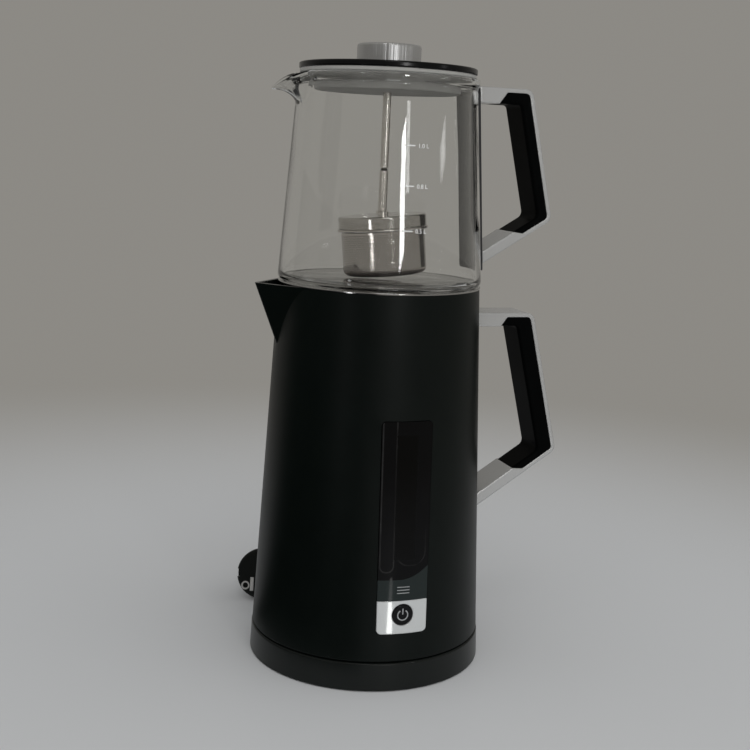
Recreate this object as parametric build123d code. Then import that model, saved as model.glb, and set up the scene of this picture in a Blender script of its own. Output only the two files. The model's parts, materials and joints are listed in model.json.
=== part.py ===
from build123d import *
import math
import os

# Two-tier tea maker: a 360 degree power base, an electric kettle and a glass teapot with a
# hanging infuser. Millimetres. +Z is up, +X points out through the handles, -Y is the front with
# the water window, and the origin is on the turning axis where the feet meet the table.

# ---- fits ------------------------------------------------------------------------------------
RUN = 0.3  # between pieces that move apart
FIT = 0.1  # between pieces of one assembly that slide together
TOUCH = 0.02  # between metal faces that are drawn tight
WALL = 2.4  # moulded housings
SHEET = 0.8  # pressed steel
WIRE_R = 0.8
SCREW_R = 1.6  # shank of the self-tapping screws
HEAD_R = 3.0
HEAD_H = 1.9
HEAD_SLOT_W = 0.7
HEAD_SINK = 0.6  # heads of the base and handle lie this deep in what they hold
BOSS_WALL = 0.8  # a boss is larger than a screw's head by this

# ---- kettle shell, which sets the size of what stands under and on it ------------------------
SHELL_R0 = 78.8  # outside, at the foot
SHELL_R1 = 67.55  # outside, at the mouth
SHELL_H = 237.0
SHELL_EDGE_R = 1.0
SPOUT_REACH = 18.45  # tip of the spout beyond the mouth's radius
SPOUT_HALF_W = 31.7  # where the spout's sides leave the mouth
SPOUT_DROP = 43.0  # the spout's keel runs out this far below the mouth
SPOUT_TIP_R = 2.5
SPOUT_ROOT = 16.0  # the spout's bar reaches this far into the shell
THROAT = 13.0  # depth of the pouring throat above the steel pot
THROAT_SHELF = 1.5  # floor left between the throat and the hollow keel
KETTLE_BOSS_L = 14.0
KETTLE_SCREW_L = 11.0

# ---- power base ------------------------------------------------------------------------------
BASE_H = 19.2
BASE_LIP = 1.2  # base radius beyond the shell's foot
BASE_DRAFT = 0.8
BASE_EDGE_R = 1.2
SEAM = 0.8  # shadow gap between base and kettle
RECESS_DEPTH = 2.2
RECESS_INSET = 5.3  # edge of the kettle's recess, inside the shell's foot
RECESS_EDGE_R = 0.5
SKIRT_Z = 0.8
PLATE_T = 2.0
FOOT_R = 8.0
FOOT_H = 1.95
FOOT_INSET = 18.8  # circle of the feet and the base's screws, inside the shell's foot
BASE_SCREW_START = 20.0
DRAIN_HALF_L = 6.0
DRAIN_Y = (8.0, 14.0)
TOWER_R = 16.0
TOWER_H = 10.5  # above the recess
TOWER_EDGE_R = 1.2
TOWER_FLANGE = 4.0  # width and thickness of the flange under the cover
TOWER_BORE_R = 2.6
INNER_SLOT = (0.34, 0.48)  # the ring slots' radii as parts of the tower's
OUTER_SLOT = (0.66, 0.80)
INNER_BLADE = (0.40, 0.44)
OUTER_BLADE = (0.72, 0.76)
CONTACT_T = 0.5
PIN_R = 1.2
BASE_WIRE_SPREAD = 1.8

# ---- strain relief and clamp -----------------------------------------------------------------
RELIEF_ANGLE = 52.0  # the lead leaves here, counted from +X towards +Y
RELIEF_L = 32.0
RELIEF_R = 5.0
RELIEF_Z = 8.7
RELIEF_TIP_WALL = 0.7
RELIEF_TAIL = 7.0  # inside the skirt
RELIEF_COLLAR = 0.8
GROOVE_PITCH = 5.0
GROOVE_DEPTH = 0.6
CLAMP_INSET = 15.0
CLAMP_W = 6.0
CLAMP_T = 2.2
STRIPPED_INSET = 22.5  # the lead's sheath ends here, inside the skirt
BASE_WIRE_DROP = 2.5

# ---- kettle bottom and socket ----------------------------------------------------------------
KETTLE_BASE_T = 3.0
FOOT_RING_W = 9.0  # ring under the kettle that stands in the recess
FOOT_RING_GAP = 3.0  # between the ring and the recess's edge
FOOT_RING_EDGE_R = 0.8
KETTLE_HEAD_SINK = 0.9
SOCKET_WALL = 5.5
SOCKET_LIFT = 1.3  # foot of the socket above the recess
SOCKET_ROOF_GAP = 0.6
SOCKET_ROOF_T = 4.0
SOCKET_COLLAR = (2.5, 2.0)  # width and thickness

# ---- steel pot, heater and water gauge -------------------------------------------------------
LINER_FLOOR = 25.0  # above the shell's foot
LINER_HEEL_R = 3.0
LINER_FLARE = 7.0  # height of the flare under the throat
FLANGE_GAP = 0.25  # between the pot's flange or seal and the shell
SEAL_W = 2.2
SEAL_H = 1.4
HEATER_INSET = 10.0  # the plate's edge inside the steel pot
HEATER_T = 4.4
HEATER_BEVEL = 2.0
ELEMENT_INSET = 12.0  # the element's circle inside the plate's edge
ELEMENT_TUBE_R = 4.0
ELEMENT_GAP = 20.0  # half the open angle at the front
COLD_PIN_R = 1.3
COLD_PIN_L = 11.0
THERMOSTAT_INSET = 16.0  # its rim inside the element's circle
THERMOSTAT_T = 4.5
BIMETAL_R = 5.0
BIMETAL_X = 11.0
TERMINAL_H = 3.0
EAR_R = 4.2
EAR_OUT = 2.0  # the ears' screws lie this far outside its rim
GAUGE_HALF_W = 9.0
GAUGE_DEPTH = 5.1
GAUGE_Z = (56.0, 161.0)  # above the shell's foot
GAUGE_GAP = 0.67  # from the flat chamber's front corners to the shell
GAUGE_BACK_GAP = 0.4
GAUGE_WALL = 1.2
GAUGE_EDGE_R = 1.0
PORT_R = 3.0
PORT_WALL = 1.0
PORT_INSET = 4.5
PORT_L = 4.0
GROMMET_WALL = 1.1

# ---- front panel -----------------------------------------------------------------------------
PANEL_HALF_W = 16.9
PANEL_Z = (41.1, 157.6)  # above the shell's foot
PLATE_Z = (19.0, 40.8)
PANEL_CORNER_R = 3.0
JOINT_CORNER_R = 0.4  # where the panel meets the plate
POCKET_DEPTH = 1.2
PANEL_PROUD = 0.4
PANEL_GAP = 0.35
WINDOW_HALF_W = 8.0
WINDOW_Z = (64.0, 151.0)
WINDOW_CORNER_R = (7.0, 2.0)  # lower and upper
BUTTON_R = 6.95
BUTTON_Z = 31.5
BUTTON_PROUD = 0.3
BUTTON_GAP = 0.3
BUTTON_EDGE_R = 0.6
BUTTON_FLANGE_W = 1.4
BUTTON_FLANGE_T = 1.0
BUTTON_STEM_R = 2.2
BUTTON_STEM_L = 1.4  # nearly; the stem and the switch meet at the end of the travel
BUTTON_TRAVEL = 0.6
SWITCH_H = 3.6
SWITCH_BODY_H = 2.6
SWITCH_HALF_W = 3.0
SWITCH_STEM_R = 1.7
LAMP_Z = 48.0
LAMP_R = 1.8
LAMP_CHIP = (1.7, 1.4, 1.2)  # half width, half height and depth
BOARD_T = 1.6
BOARD_HALF_W = 14.0
BOARD_Z = (17.0, 53.0)
BOARD_POST_R = 2.6
BOARD_POST_INSET = (3.0, 4.0)  # from the board's side and end
BOARD_SCREW_L = 5.0
LEAD_BEND = 11.3  # behind the board, the control's two wires turn up

# ---- handles ---------------------------------------------------------------------------------
HANDLE_W = 28.0
STRIP = 2.8  # the silver band round the outside of the grip
HANDLE_CORNER_R = 6.0
GRIP_EDGE_R = 2.5
GRIP_TIP_R = 1.5
HANDLE_ROOT = 12.0  # the arms are drawn this far into the body and then cut to it
ARM_WALL = 0.9  # left round a screw in the sloping arm
UPPER_SCREW_L = 12.0
# each: drop of the outer corners below the mouth, their reach beyond its radius, the lower arm's
# slope, the thickness of the upper arm, grip and lower arm, and the grip's run along each arm
KETTLE_HANDLE = dict(drop=(18.2, 116.3), reach=(41.65, 65.85), slope=33.5,
                     arms=(9.2, 13.4, 7.4), ends=(12.5, 4.4, 25.9, 22.5))
POT_HANDLE = dict(drop=(3.1, 89.3), reach=(38.6, 58.8), slope=31.5,
                  arms=(10.3, 9.8, 6.9), ends=(15.9, 5.4, 21.0, 20.0))

# ---- glass teapot ----------------------------------------------------------------------------
GLASS_STEP = 0.95  # the glass's taper line meets the seat this far outside the kettle's mouth
GLASS_TAPER = 9.4
GLASS_H = 133.9
GLASS_T = 2.5
GLASS_FLOOR = 1.9  # inside floor above the seat
GLASS_HEEL_R = 5.5
GLASS_DISH = 1.1  # the floor's underside below the seat
GLASS_FOOT_W = 6.5
NEST_DEPTH = 2.7  # the foot drops this far into the kettle's rim
RIM_W = 7.55  # from the shell's mouth in to the rim's bore
RIM_T = 1.1
RIM_PROUD = 0.3
BEAD_H = 5.9
BEAD_SLOPE = 2.4
BEAD_OUT = 1.3
BEAD_IN = 1.0
LIP_REACH = 18.1  # tip of the pouring lip beyond the bead's neck
LIP_ROOT = 7.0  # the lip's bar starts this far inside the neck
LIP_HALF_W = 18.3  # at its root, inside the glass
LIP_TIP_HALF_W = 2.6
LIP_ROOT_Z = (-23.2, 5.9)  # bottom and top edge, from the rim
LIP_TIP_Z = (-13.1, -10.6)
STRAP_HALF_W = 15.5
STRAP_T = 2.2
STRAP_Z = (9.5, 131.0)  # above the seat
STRAP_CHAMFER = 5.0
STRAP_CORNER_R = 2.0
TONGUE_L = 9.0
TONGUE_HALF_W = 6.0
TONGUE_HALF_T = 1.6
TONGUE_SINK = 0.8
SET_SCREW_R = 1.3
SET_SCREW_L = 2.4
SET_SCREW_AT = 4.5  # along the tongue

# ---- lid and infuser -------------------------------------------------------------------------
LID_INSET = 0.85  # the cover's edge inside the glass neck's outside
COVER_T = 3.8
COVER_EDGE_R = (0.8, 1.2)
GASKET_INSET = 0.6
GASKET_T = 2.6
PLUG_INSET = 11.0  # the lid's hollow plug, inside the glass neck's outside
PLUG_DROP = 10.4
PLUG_WALL = 1.6
PLUG_FLANGE = 6.0
PLUG_EDGE_R = 1.4
KNOB_R = 21.0
KNOB_H = 13.3
KNOB_EDGE_R = 1.6
KNOB_CHAMFER = 1.0
NUT_R = 4.6
NUT_H = 3.2
WASHER_R = 8.0
WASHER_T = 1.0
ROD_R = 2.75
THREAD_R = 2.45
THREAD_FIT = 0.05
LOWER_ROD_R = 2.9
LOWER_THREAD_R = 2.2
COLLAR_R = 4.4
COLLAR_H = 1.4
STUD_R = 1.6
STUD_L = 7.0
JOINT_NECK = 1.2  # the dark groove between the rods
ROD_JOINT = 50.3  # below the plug's floor
CROSS_HOLE_R = 0.7
CROSS_HOLE_DROP = 4.6
CAP_R = 29.5
CAP_H = 7.6
CAP_EDGE_R = 1.4
CAP_DROP = 79.4  # top of the cap, below the plug's floor
CAP_NUT_R = 5.2
CAP_NUT_H = 2.7
CAP_THREAD_L = 4.2
CAN_R = 28.0
CAN_L = 39.1  # from the top of the cap to the bottom of the can
CAN_T = 0.6
CAN_BEAD_R = 1.1
CAN_HEEL_R = 4.0
CAN_NECK_GAP = 1.2
FLOOR_HOLE_R = 1.1
FLOOR_HOLES = ((1, 0.0), (6, 5.5), (12, 11.0), (18, 16.5))  # count and circle of each ring
TWIST = 28.0  # bayonet turn that frees the can
LUG_R = 1.1
LUG_DROP = 4.8  # below the top of the cap
LUG_GAP = 0.4
LUG_ROOT = 0.5
CAP_TILT = 5.5  # the can hangs this far out of true
TILT_HEADING = 71.5  # the tilt's axis, from +X towards +Y

# ---- spout filter ----------------------------------------------------------------------------
FILTER_GAP = 3.0  # from the shell's inside
FILTER_ANGLE = 26.0  # half the angle that the screen spans
FILTER_PITCH = 2.6
FILTER_HOLE_R = 0.9
FILTER_STEPS = 7  # holes each side of the middle
FILTER_STEP_ANGLE = 3.0

# ---- lead ------------------------------------------------------------------------------------
CORD_D = 7.0
COIL_X, COIL_Y = 39.0, 143.0
COIL_R_OUT = 46.0
COIL_R_IN = 31.0
COIL_H = 14.0
TIE_T = 0.6
TIE_W = 6.0
TIE_ANGLE = -65.0
PLUG_FACE = (-51.75, 97.45, 20.9)
PLUG_TURN = 18.5  # the plug's face looks towards -Y, turned this far towards -X
PLUG_LEAN = 15.0  # and upwards, because the plug lies on its rim and its tail
PLUG_BODY_R = 19.25
PLUG_L = 64.0
PLUG_RIM_L = 9.0  # the full-width rim behind the face
PLUG_PIN_R = 2.4
PLUG_PIN_L = 20.0  # out of the face
PLUG_PIN_ROOT = 7.0  # and into it
PLUG_PIN_Y = 9.5
EARTH_AT = (-12.4, -9.4)
EARTH_R = (3.2, 2.1)
EARTH_STRIP = ((-8.8, -6.2), (-13.4, -3.1))
EARTH_DEPTH = (2.4, 0.5)
# centre line of the lead where it isn't coiled, from the relief to the coil and on to the plug
LEAD_IN = [(69.0, 88.3, 8.7), (79.5, 102.0, 7.0), (86.5, 118.5, 4.0), (87.0, 139.5, 3.8),
           (79.6, 158.2, 4.1)]
LEAD_OUT = [(58.5, 176.8, 10.8), (39.2, 187.9, 10.8), (17.3, 192.4, 5.4), (-2.6, 189.5, 3.8),
            (-17.6, 181.4, 3.7), (-27.2, 170.0, 3.8), (-32.2, 156.5, 4.3)]

# ---- sizes that follow -----------------------------------------------------------------------
DECK_Z = BASE_H - RECESS_DEPTH
SHELL_Z0 = BASE_H + SEAM
SHELL_Z1 = SHELL_Z0 + SHELL_H
BASE_R = SHELL_R0 + BASE_LIP
RECESS_R = SHELL_R0 - RECESS_INSET
FOOT_RING_R = SHELL_R0 - FOOT_INSET
SOCKET_BORE_R = TOWER_R + 0.5
SOCKET_R = SOCKET_BORE_R + SOCKET_WALL
SOCKET_Z0 = DECK_Z + SOCKET_LIFT
SOCKET_ROOF = DECK_Z + TOWER_H + SOCKET_ROOF_GAP
SOCKET_TOP = SOCKET_ROOF + SOCKET_ROOF_T
KETTLE_BASE_TOP = SHELL_Z0 + KETTLE_BASE_T
LINER_Z0 = SHELL_Z0 + LINER_FLOOR
THROAT_Z = SHELL_Z1 - THROAT
NEST_R = SHELL_R1 - RIM_W
RIM_Z1 = SHELL_Z1 + FIT + RIM_T
SEAT_Z = RIM_Z1 + RUN
GLASS_R0 = SHELL_R1 + GLASS_STEP
GLASS_R1 = GLASS_R0 - GLASS_TAPER
GLASS_Z1 = SEAT_Z + GLASS_H
BEAD_Z = GLASS_Z1 - BEAD_H
LID_R = GLASS_R1 - LID_INSET
PLUG_R = GLASS_R1 - PLUG_INSET
LID_Z = GLASS_Z1 + RUN
COVER_Z = LID_Z + GASKET_T + FIT
KNOB_Z = COVER_Z + COVER_T + FIT
PLUG_FLOOR_Z = LID_Z - PLUG_DROP
CAP_Z = PLUG_FLOOR_Z - CAP_DROP
THERMOSTAT_Z = SOCKET_TOP + RUN
HEATER_UNDER = LINER_Z0 - FIT - HEATER_T


# ---- helpers ---------------------------------------------------------------------------------
def outline(points, radii=None):
    """Closed flat face through the points, with the corner of each index in radii rounded."""
    if radii is None:
        return make_face(Polyline(*points, close=True))
    rounds = [radii.get(i, 0) for i in range(len(points))]
    return make_face(FilletPolyline(*points, radius=rounds, close=True))


def turned(points, radii=None):
    """Solid of revolution about Z of a closed outline of (radius, height) corners."""
    return revolve(Plane.XZ * outline(points, radii), Axis.Z)


def disc(r, z0, z1, x=0.0, y=0.0):
    return Pos(x, y, (z0 + z1) / 2) * Cylinder(r, z1 - z0)


def ring(r_out, r_in, z0, z1, x=0.0, y=0.0):
    return disc(r_out, z0, z1, x, y) - disc(r_in, z0, z1, x, y)


def block(x, y, z):
    """Box between two limits on each axis."""
    size = (x[1] - x[0], y[1] - y[0], z[1] - z[0])
    return Pos((x[0] + x[1]) / 2, (y[0] + y[1]) / 2, (z[0] + z[1]) / 2) * Box(*size)


def rod_along(start, direction, r, length):
    """Round bar from a point along a direction."""
    return Plane(origin=start, z_dir=direction) * (Pos(0, 0, length / 2) * Cylinder(r, length))


def sector(r_out, r_in, angles, z0, z1):
    """Piece of a ring between two angles, less than half a turn apart."""
    reach = 2 * r_out
    arms = [(reach * math.cos(math.radians(a)), reach * math.sin(math.radians(a))) for a in angles]
    wedge = Pos(0, 0, z0) * extrude(outline([(0, 0)] + arms), z1 - z0)
    return ring(r_out, r_in, z0, z1) & wedge


def circle_points(r, count, start=0.0):
    angles = [math.radians(start + 360.0 * i / count) for i in range(count)]
    return [(r * math.cos(a), r * math.sin(a)) for a in angles]


def shell_r(z):
    """Outside radius of the kettle's tapering shell at a height."""
    return SHELL_R0 - (SHELL_R0 - SHELL_R1) * (z - SHELL_Z0) / SHELL_H


def shell_core(grow, z0, z1):
    """Solid cone frustum that lies parallel to the shell's outside."""
    return turned([(0, z0), (shell_r(z0) + grow, z0), (shell_r(z1) + grow, z1), (0, z1)])


def glass_r(z):
    """Outside radius of the teapot's wall at a height."""
    return GLASS_R0 - GLASS_TAPER * (z - SEAT_Z) / (BEAD_Z - SEAT_Z)


def glass_core(grow, z0, z1):
    return turned([(0, z0), (glass_r(z0) + grow, z0), (glass_r(z1) + grow, z1), (0, z1)])


def chord_x(r, y):
    """Distance from the axis to a circle's chord at a distance aside."""
    return math.sqrt(r * r - y * y)


def screw(point, direction, length):
    """Pan-head screw: the head sits on the point, and the shank runs along the direction."""
    shank = Pos(0, 0, length / 2) * Cylinder(SCREW_R, length)
    head = Pos(0, 0, -HEAD_H / 2) * Cylinder(HEAD_R, HEAD_H)
    slot_l = HEAD_R * 1.2
    cross = Box(slot_l, HEAD_SLOT_W, HEAD_H) + Box(HEAD_SLOT_W, slot_l, HEAD_H)
    body = shank + head - Pos(0, 0, -HEAD_H) * cross
    return Plane(origin=point, z_dir=direction) * body


def front_prism(half_w, z, r_low=0.0, r_high=0.0):
    """Bar that runs from the axis out through the front, with a rounded rectangle as section."""
    corners = [(-half_w, z[0]), (half_w, z[0]), (half_w, z[1]), (-half_w, z[1])]
    face = outline(corners, {0: r_low, 1: r_low, 2: r_high, 3: r_high})
    return extrude(Plane.XZ * face, 1.25 * SHELL_R0)


def front_hole(z, r):
    """Round bar from the axis out through the front, at a height above the shell's foot."""
    return rod_along((0, 0, SHELL_Z0 + z), (0, -1, 0), r, 1.25 * SHELL_R0)


def above_foot(z):
    return (SHELL_Z0 + z[0], SHELL_Z0 + z[1])


# ---- power base ------------------------------------------------------------------------------
def base_screw_points():
    return circle_points(FOOT_RING_R, 4, BASE_SCREW_START)


def base_cover():
    under = DECK_Z - WALL
    top_r = BASE_R - BASE_DRAFT
    hole = TOWER_R + 1.0
    body = turned([(BASE_R, SKIRT_Z), (top_r, BASE_H), (RECESS_R, BASE_H), (RECESS_R, DECK_Z),
                   (hole, DECK_Z), (hole, under), (BASE_R - 1.25 * WALL, under),
                   (BASE_R - WALL, SKIRT_Z)], {1: BASE_EDGE_R, 2: RECESS_EDGE_R})
    for x, y in base_screw_points():
        pillar = disc(HEAD_R + HEAD_SINK, SKIRT_Z + PLATE_T + FIT, under, x, y)
        body = body + pillar - disc(SCREW_R, SKIRT_Z, under - 1, x, y)
    return body - relief_frame() * disc(RELIEF_R + FIT, -3 * WALL, 2 * WALL)


def base_plate():
    top = SKIRT_Z + PLATE_T
    body = disc(BASE_R - WALL - FIT, SKIRT_Z, top)
    for x, y in circle_points(FOOT_RING_R, 4):
        body -= disc(FOOT_R + FIT, SKIRT_Z, FOOT_H + FIT, x, y)
    for x, y in base_screw_points():
        body -= disc(SCREW_R + FIT, SKIRT_Z, top, x, y)
        body -= disc(HEAD_R + FIT, SKIRT_Z, top - HEAD_SINK, x, y)
    for side in (-1, 1):
        limits = sorted(side * y for y in DRAIN_Y)
        body -= block((-DRAIN_HALF_L, DRAIN_HALF_L), limits, (SKIRT_Z, top))
    return body


def base_feet():
    return [disc(FOOT_R, 0, FOOT_H, x, y) for x, y in circle_points(FOOT_RING_R, 4)]


def base_screws():
    """Screws with thin heads, which stay inside the plate's thickness."""
    seat = SKIRT_Z + PLATE_T - HEAD_SINK
    low = SKIRT_Z + FIT
    screws = []
    for x, y in base_screw_points():
        shape = screw((x, y, seat), (0, 0, 1), DECK_Z - WALL - seat - 2)
        screws.append(shape - disc(HEAD_R + 1, low - HEAD_H, low, x, y))
    return screws


def scaled_ring(parts, grow, z0, z1):
    """Ring whose two radii are stated as parts of the tower's radius."""
    return ring(parts[1] * TOWER_R + grow, parts[0] * TOWER_R - grow, z0, z1)


def base_tower():
    top = DECK_Z + TOWER_H
    flange_z = DECK_Z - WALL - FIT
    low = flange_z - TOWER_FLANGE
    collar = TOWER_R + 0.8
    body = turned([(0, low), (TOWER_R + TOWER_FLANGE, low), (TOWER_R + TOWER_FLANGE, flange_z),
                   (collar, flange_z), (collar, DECK_Z), (TOWER_R, DECK_Z), (TOWER_R, top), (0, top)],
                  {6: TOWER_EDGE_R})
    z0 = DECK_Z - TOWER_FLANGE
    body -= disc(TOWER_BORE_R, z0, top + 1)
    return body - scaled_ring(INNER_SLOT, 0, z0, top + 1) - scaled_ring(OUTER_SLOT, 0, z0, top + 1)


def base_contacts():
    """Middle pin and the two contact rings, each against its slot's outer wall."""
    top = DECK_Z + TOWER_H - 2
    low = DECK_Z - TOWER_FLANGE
    pieces = [disc(TOWER_BORE_R - FIT, low, low + 2) + disc(PIN_R, low + 2, top)]
    for slot in (INNER_SLOT, OUTER_SLOT):
        r = slot[1] * TOWER_R
        pieces.append(ring(r - TOUCH, r - CONTACT_T, low, top))
    return pieces


def relief_frame():
    """Where the lead leaves the base: local Z runs outwards from the skirt."""
    a = math.radians(RELIEF_ANGLE)
    out = (math.cos(a), math.sin(a), 0)
    return Plane(origin=(BASE_R * out[0], BASE_R * out[1], RELIEF_Z), z_dir=out)


def relief_r(along):
    """Radius of the tapering strain relief at a distance from the skirt."""
    tip = CORD_D / 2 + RELIEF_TIP_WALL
    return RELIEF_R - (RELIEF_R - tip) * along / RELIEF_L


def cord_relief():
    neck = Cone(relief_r(0), relief_r(RELIEF_L), RELIEF_L)
    body = Pos(0, 0, RELIEF_L / 2) * neck
    body += disc(RELIEF_R, -RELIEF_TAIL, 0)
    body += disc(RELIEF_R + RELIEF_COLLAR, -RELIEF_TAIL, -WALL - 1.4)
    for step in range(1, 6):
        along = 1 + GROOVE_PITCH * step
        body -= ring(1.6 * RELIEF_R, relief_r(along) - GROOVE_DEPTH, along - 0.8, along + 0.8)
    return relief_frame() * (body - disc(CORD_D / 2, -RELIEF_TAIL - 1, RELIEF_L + 1))


def inner_lead():
    """The lead inside the base, from the relief to where its sheath is stripped."""
    return relief_frame() * disc(CORD_D / 2 - FIT, 0.5 - STRIPPED_INSET, RELIEF_L - 0.5)


def cord_clamp():
    """Bridge that holds the lead down; it stands on two posts on the base plate."""
    a = math.radians(RELIEF_ANGLE)
    across = math.radians(RELIEF_ANGLE + 90)
    cx, cy = (BASE_R - CLAMP_INSET) * math.cos(a), (BASE_R - CLAMP_INSET) * math.sin(a)
    low = SKIRT_Z + PLATE_T
    under = RELIEF_Z + CORD_D / 2
    post_at = CORD_D / 2 + CLAMP_W / 2 + 1
    arch = Box(CLAMP_W, 2 * post_at + CLAMP_W + 1, CLAMP_T)
    body = Pos(cx, cy, under + CLAMP_T / 2) * Rot(0, 0, RELIEF_ANGLE) * arch
    for side in (-post_at, post_at):
        body += disc(CLAMP_W / 2, low, under, cx + side * math.cos(across), cy + side * math.sin(across))
    return body


def base_wires():
    """Three wires from the stripped lead to the contacts under the tower."""
    heading = math.radians(RELIEF_ANGLE)
    far = BASE_R - STRIPPED_INSET
    sx, sy = far * math.cos(heading), far * math.sin(heading)
    under = DECK_Z - WALL - TOWER_FLANGE - 2 * FIT
    low = RELIEF_Z - BASE_WIRE_DROP
    wires = []
    for part, side in ((0.4, -1), (0.55, 0), (0.7, 1)):
        a = heading + math.radians(20 * side)
        end = (TOWER_R * part * math.cos(a), TOWER_R * part * math.sin(a))
        shift = BASE_WIRE_SPREAD * side
        start = (sx - shift * math.sin(a), sy + shift * math.cos(a))
        middle = ((start[0] + end[0]) / 2, (start[1] + end[1]) / 2)
        path = FilletPolyline((*start, RELIEF_Z), (*middle, low), (*end, low), (*end, under),
                              radius=[8, 1.6])
        wires.append(sweep(Plane(origin=path @ 0, z_dir=path % 0) * Circle(WIRE_R), path))
    return wires


# ---- lead ------------------------------------------------------------------------------------
def route_radii(points):
    """Largest tangent arc at each corner of a route: 0.45 of the shorter run over tan(turn / 2)."""
    radii = []
    for a, b, c in zip(points, points[1:], points[2:]):
        first, second = Vector(*b) - Vector(*a), Vector(*c) - Vector(*b)
        half = math.radians(first.get_angle(second)) / 2
        radii.append(0.45 * min(first.length, second.length) / math.tan(half))
    return radii


def cord_tube(name, points):
    radii = route_radii(points)
    path = FilletPolyline(*points, radius=radii)
    tube = sweep(Plane(origin=path @ 0, z_dir=path % 0) * Circle(CORD_D / 2), path)
    ideal = math.pi * (CORD_D / 2) ** 2 * path.length
    print(name, "length", round(path.length, 1), "radii", [round(r) for r in radii],
          "volume over ideal", round(tube.volume / ideal, 4))
    return tube


def cord_coil():
    low = TIE_T
    high = TIE_T + COIL_H
    corners = [(COIL_R_IN, low), (COIL_R_OUT, low), (COIL_R_OUT, high), (COIL_R_IN, high)]
    return Pos(COIL_X, COIL_Y, 0) * turned(corners, {i: CORD_D / 2 for i in range(4)})


def cord_tie():
    """Flat strap round the bundled turns."""
    mid = (COIL_R_OUT + COIL_R_IN) / 2
    width = COIL_R_OUT - COIL_R_IN + 2 * RUN
    inner = Box(width, TIE_W + 1, COIL_H)
    outer = Box(width + 2 * TIE_T, TIE_W, COIL_H + 2 * TIE_T)
    place = Pos(COIL_X, COIL_Y, TIE_T + COIL_H / 2) * Rot(0, 0, TIE_ANGLE) * Pos(mid, 0, 0)
    return place * (outer - inner)


def plug_frame():
    """The plug's face: local Z looks out of the face and local Y is up."""
    turn, lean = math.radians(PLUG_TURN), math.radians(PLUG_LEAN)
    flat = math.cos(lean)
    return Plane(origin=PLUG_FACE, x_dir=(math.cos(turn), -math.sin(turn), 0),
                 z_dir=(-math.sin(turn) * flat, -math.cos(turn) * flat, math.sin(lean)))


def plug_body():
    """Round two-pin plug: a thick face, a waisted grip and a tapering relief for the lead."""
    r = PLUG_BODY_R
    grip = CORD_D / 2 + 1.6
    profile = [(0, 0), (r, 0), (r, -PLUG_RIM_L), (0.74 * r, -22), (0.53 * r, -40), (grip, -46),
               (grip - 1, -PLUG_L), (0, -PLUG_L)]
    solid = revolve(Plane.XZ * outline(profile, {1: 1.6, 2: 3, 3: 6, 4: 3}), Axis.Z)
    groove = PLUG_PIN_R
    for side in (-1, 1):
        solid -= disc(PLUG_PIN_R, -PLUG_PIN_ROOT - 1, 1, 0, side * PLUG_PIN_Y)
        solid -= block((side * r - groove, side * r + groove), (-3, 3), (-PLUG_RIM_L, 1))
    (x0, x1), (y0, y1) = EARTH_STRIP
    solid -= disc(EARTH_R[0] + FIT, -EARTH_DEPTH[0], 1, *EARTH_AT)
    solid -= block((x0 - FIT, x1 + FIT), (y0 - FIT, y1 + FIT), (-EARTH_DEPTH[1], 1))
    return plug_frame() * (solid - disc(CORD_D / 2, -PLUG_L - 1, 12 - PLUG_L))


def plug_pins():
    pins = []
    for side in (-1, 1):
        pin = disc(PLUG_PIN_R, -PLUG_PIN_ROOT, PLUG_PIN_L, 0, side * PLUG_PIN_Y)
        tip = [e for e in pin.edges() if e.center().Z > PLUG_PIN_L - 1]
        pins.append(plug_frame() * fillet(tip, PLUG_PIN_R / 2))
    return pins


def plug_earth():
    """Earth socket and the strip beside it, set flush into the plug's face."""
    socket = ring(*EARTH_R, -EARTH_DEPTH[0], 0, *EARTH_AT)
    strip = block(*EARTH_STRIP, (-EARTH_DEPTH[1], 0))
    return [plug_frame() * socket, plug_frame() * strip]


# ---- kettle socket ---------------------------------------------------------------------------
def kettle_socket():
    """Round female connector that drops over the base's tower."""
    collar_z = KETTLE_BASE_TOP + RUN
    collar_r = SOCKET_R + SOCKET_COLLAR[0]
    collar_top = collar_z + SOCKET_COLLAR[1]
    body = turned([(0, SOCKET_ROOF), (SOCKET_BORE_R, SOCKET_ROOF), (SOCKET_BORE_R, SOCKET_Z0),
                   (SOCKET_R, SOCKET_Z0), (SOCKET_R, collar_z), (collar_r, collar_z),
                   (collar_r, collar_top), (SOCKET_R, collar_top), (SOCKET_R, SOCKET_TOP), (0, SOCKET_TOP)],
                  {2: 0.8, 3: 0.8})
    tip = DECK_Z + 1.0
    for blade in (INNER_BLADE, OUTER_BLADE):
        body += scaled_ring(blade, 0, tip, SOCKET_ROOF + 1)
    return body


# ---- kettle ----------------------------------------------------------------------------------
def spout_prism(inset, z0, z1):
    """Slanting V-shaped bar: its keel leans out from the shell up to the spout's tip."""
    tip_x = SHELL_R1 + SPOUT_REACH
    side = math.atan2(SPOUT_HALF_W, tip_x - chord_x(SHELL_R1, SPOUT_HALF_W))
    tip = tip_x - inset / math.sin(side)
    half = SPOUT_HALF_W - inset * 0.4
    back = tip - half / math.tan(side)
    keel_x = shell_r(SHELL_Z1 - SPOUT_DROP) - 0.2
    lean = (tip_x - keel_x) / SPOUT_DROP
    r = max(SPOUT_TIP_R - inset, 0.6)
    faces = []
    for z in (z0, z1):
        slide = lean * (SHELL_Z1 - z)
        root = -(back - SPOUT_ROOT - slide)
        knee = -(back - slide)
        corners = [(root, -half), (knee, -half), (-(tip - slide), 0), (knee, half), (root, half)]
        faces.append(Pos(0, 0, z) * outline(corners, {2: r}))
    return loft(faces, ruled=True)


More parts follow.
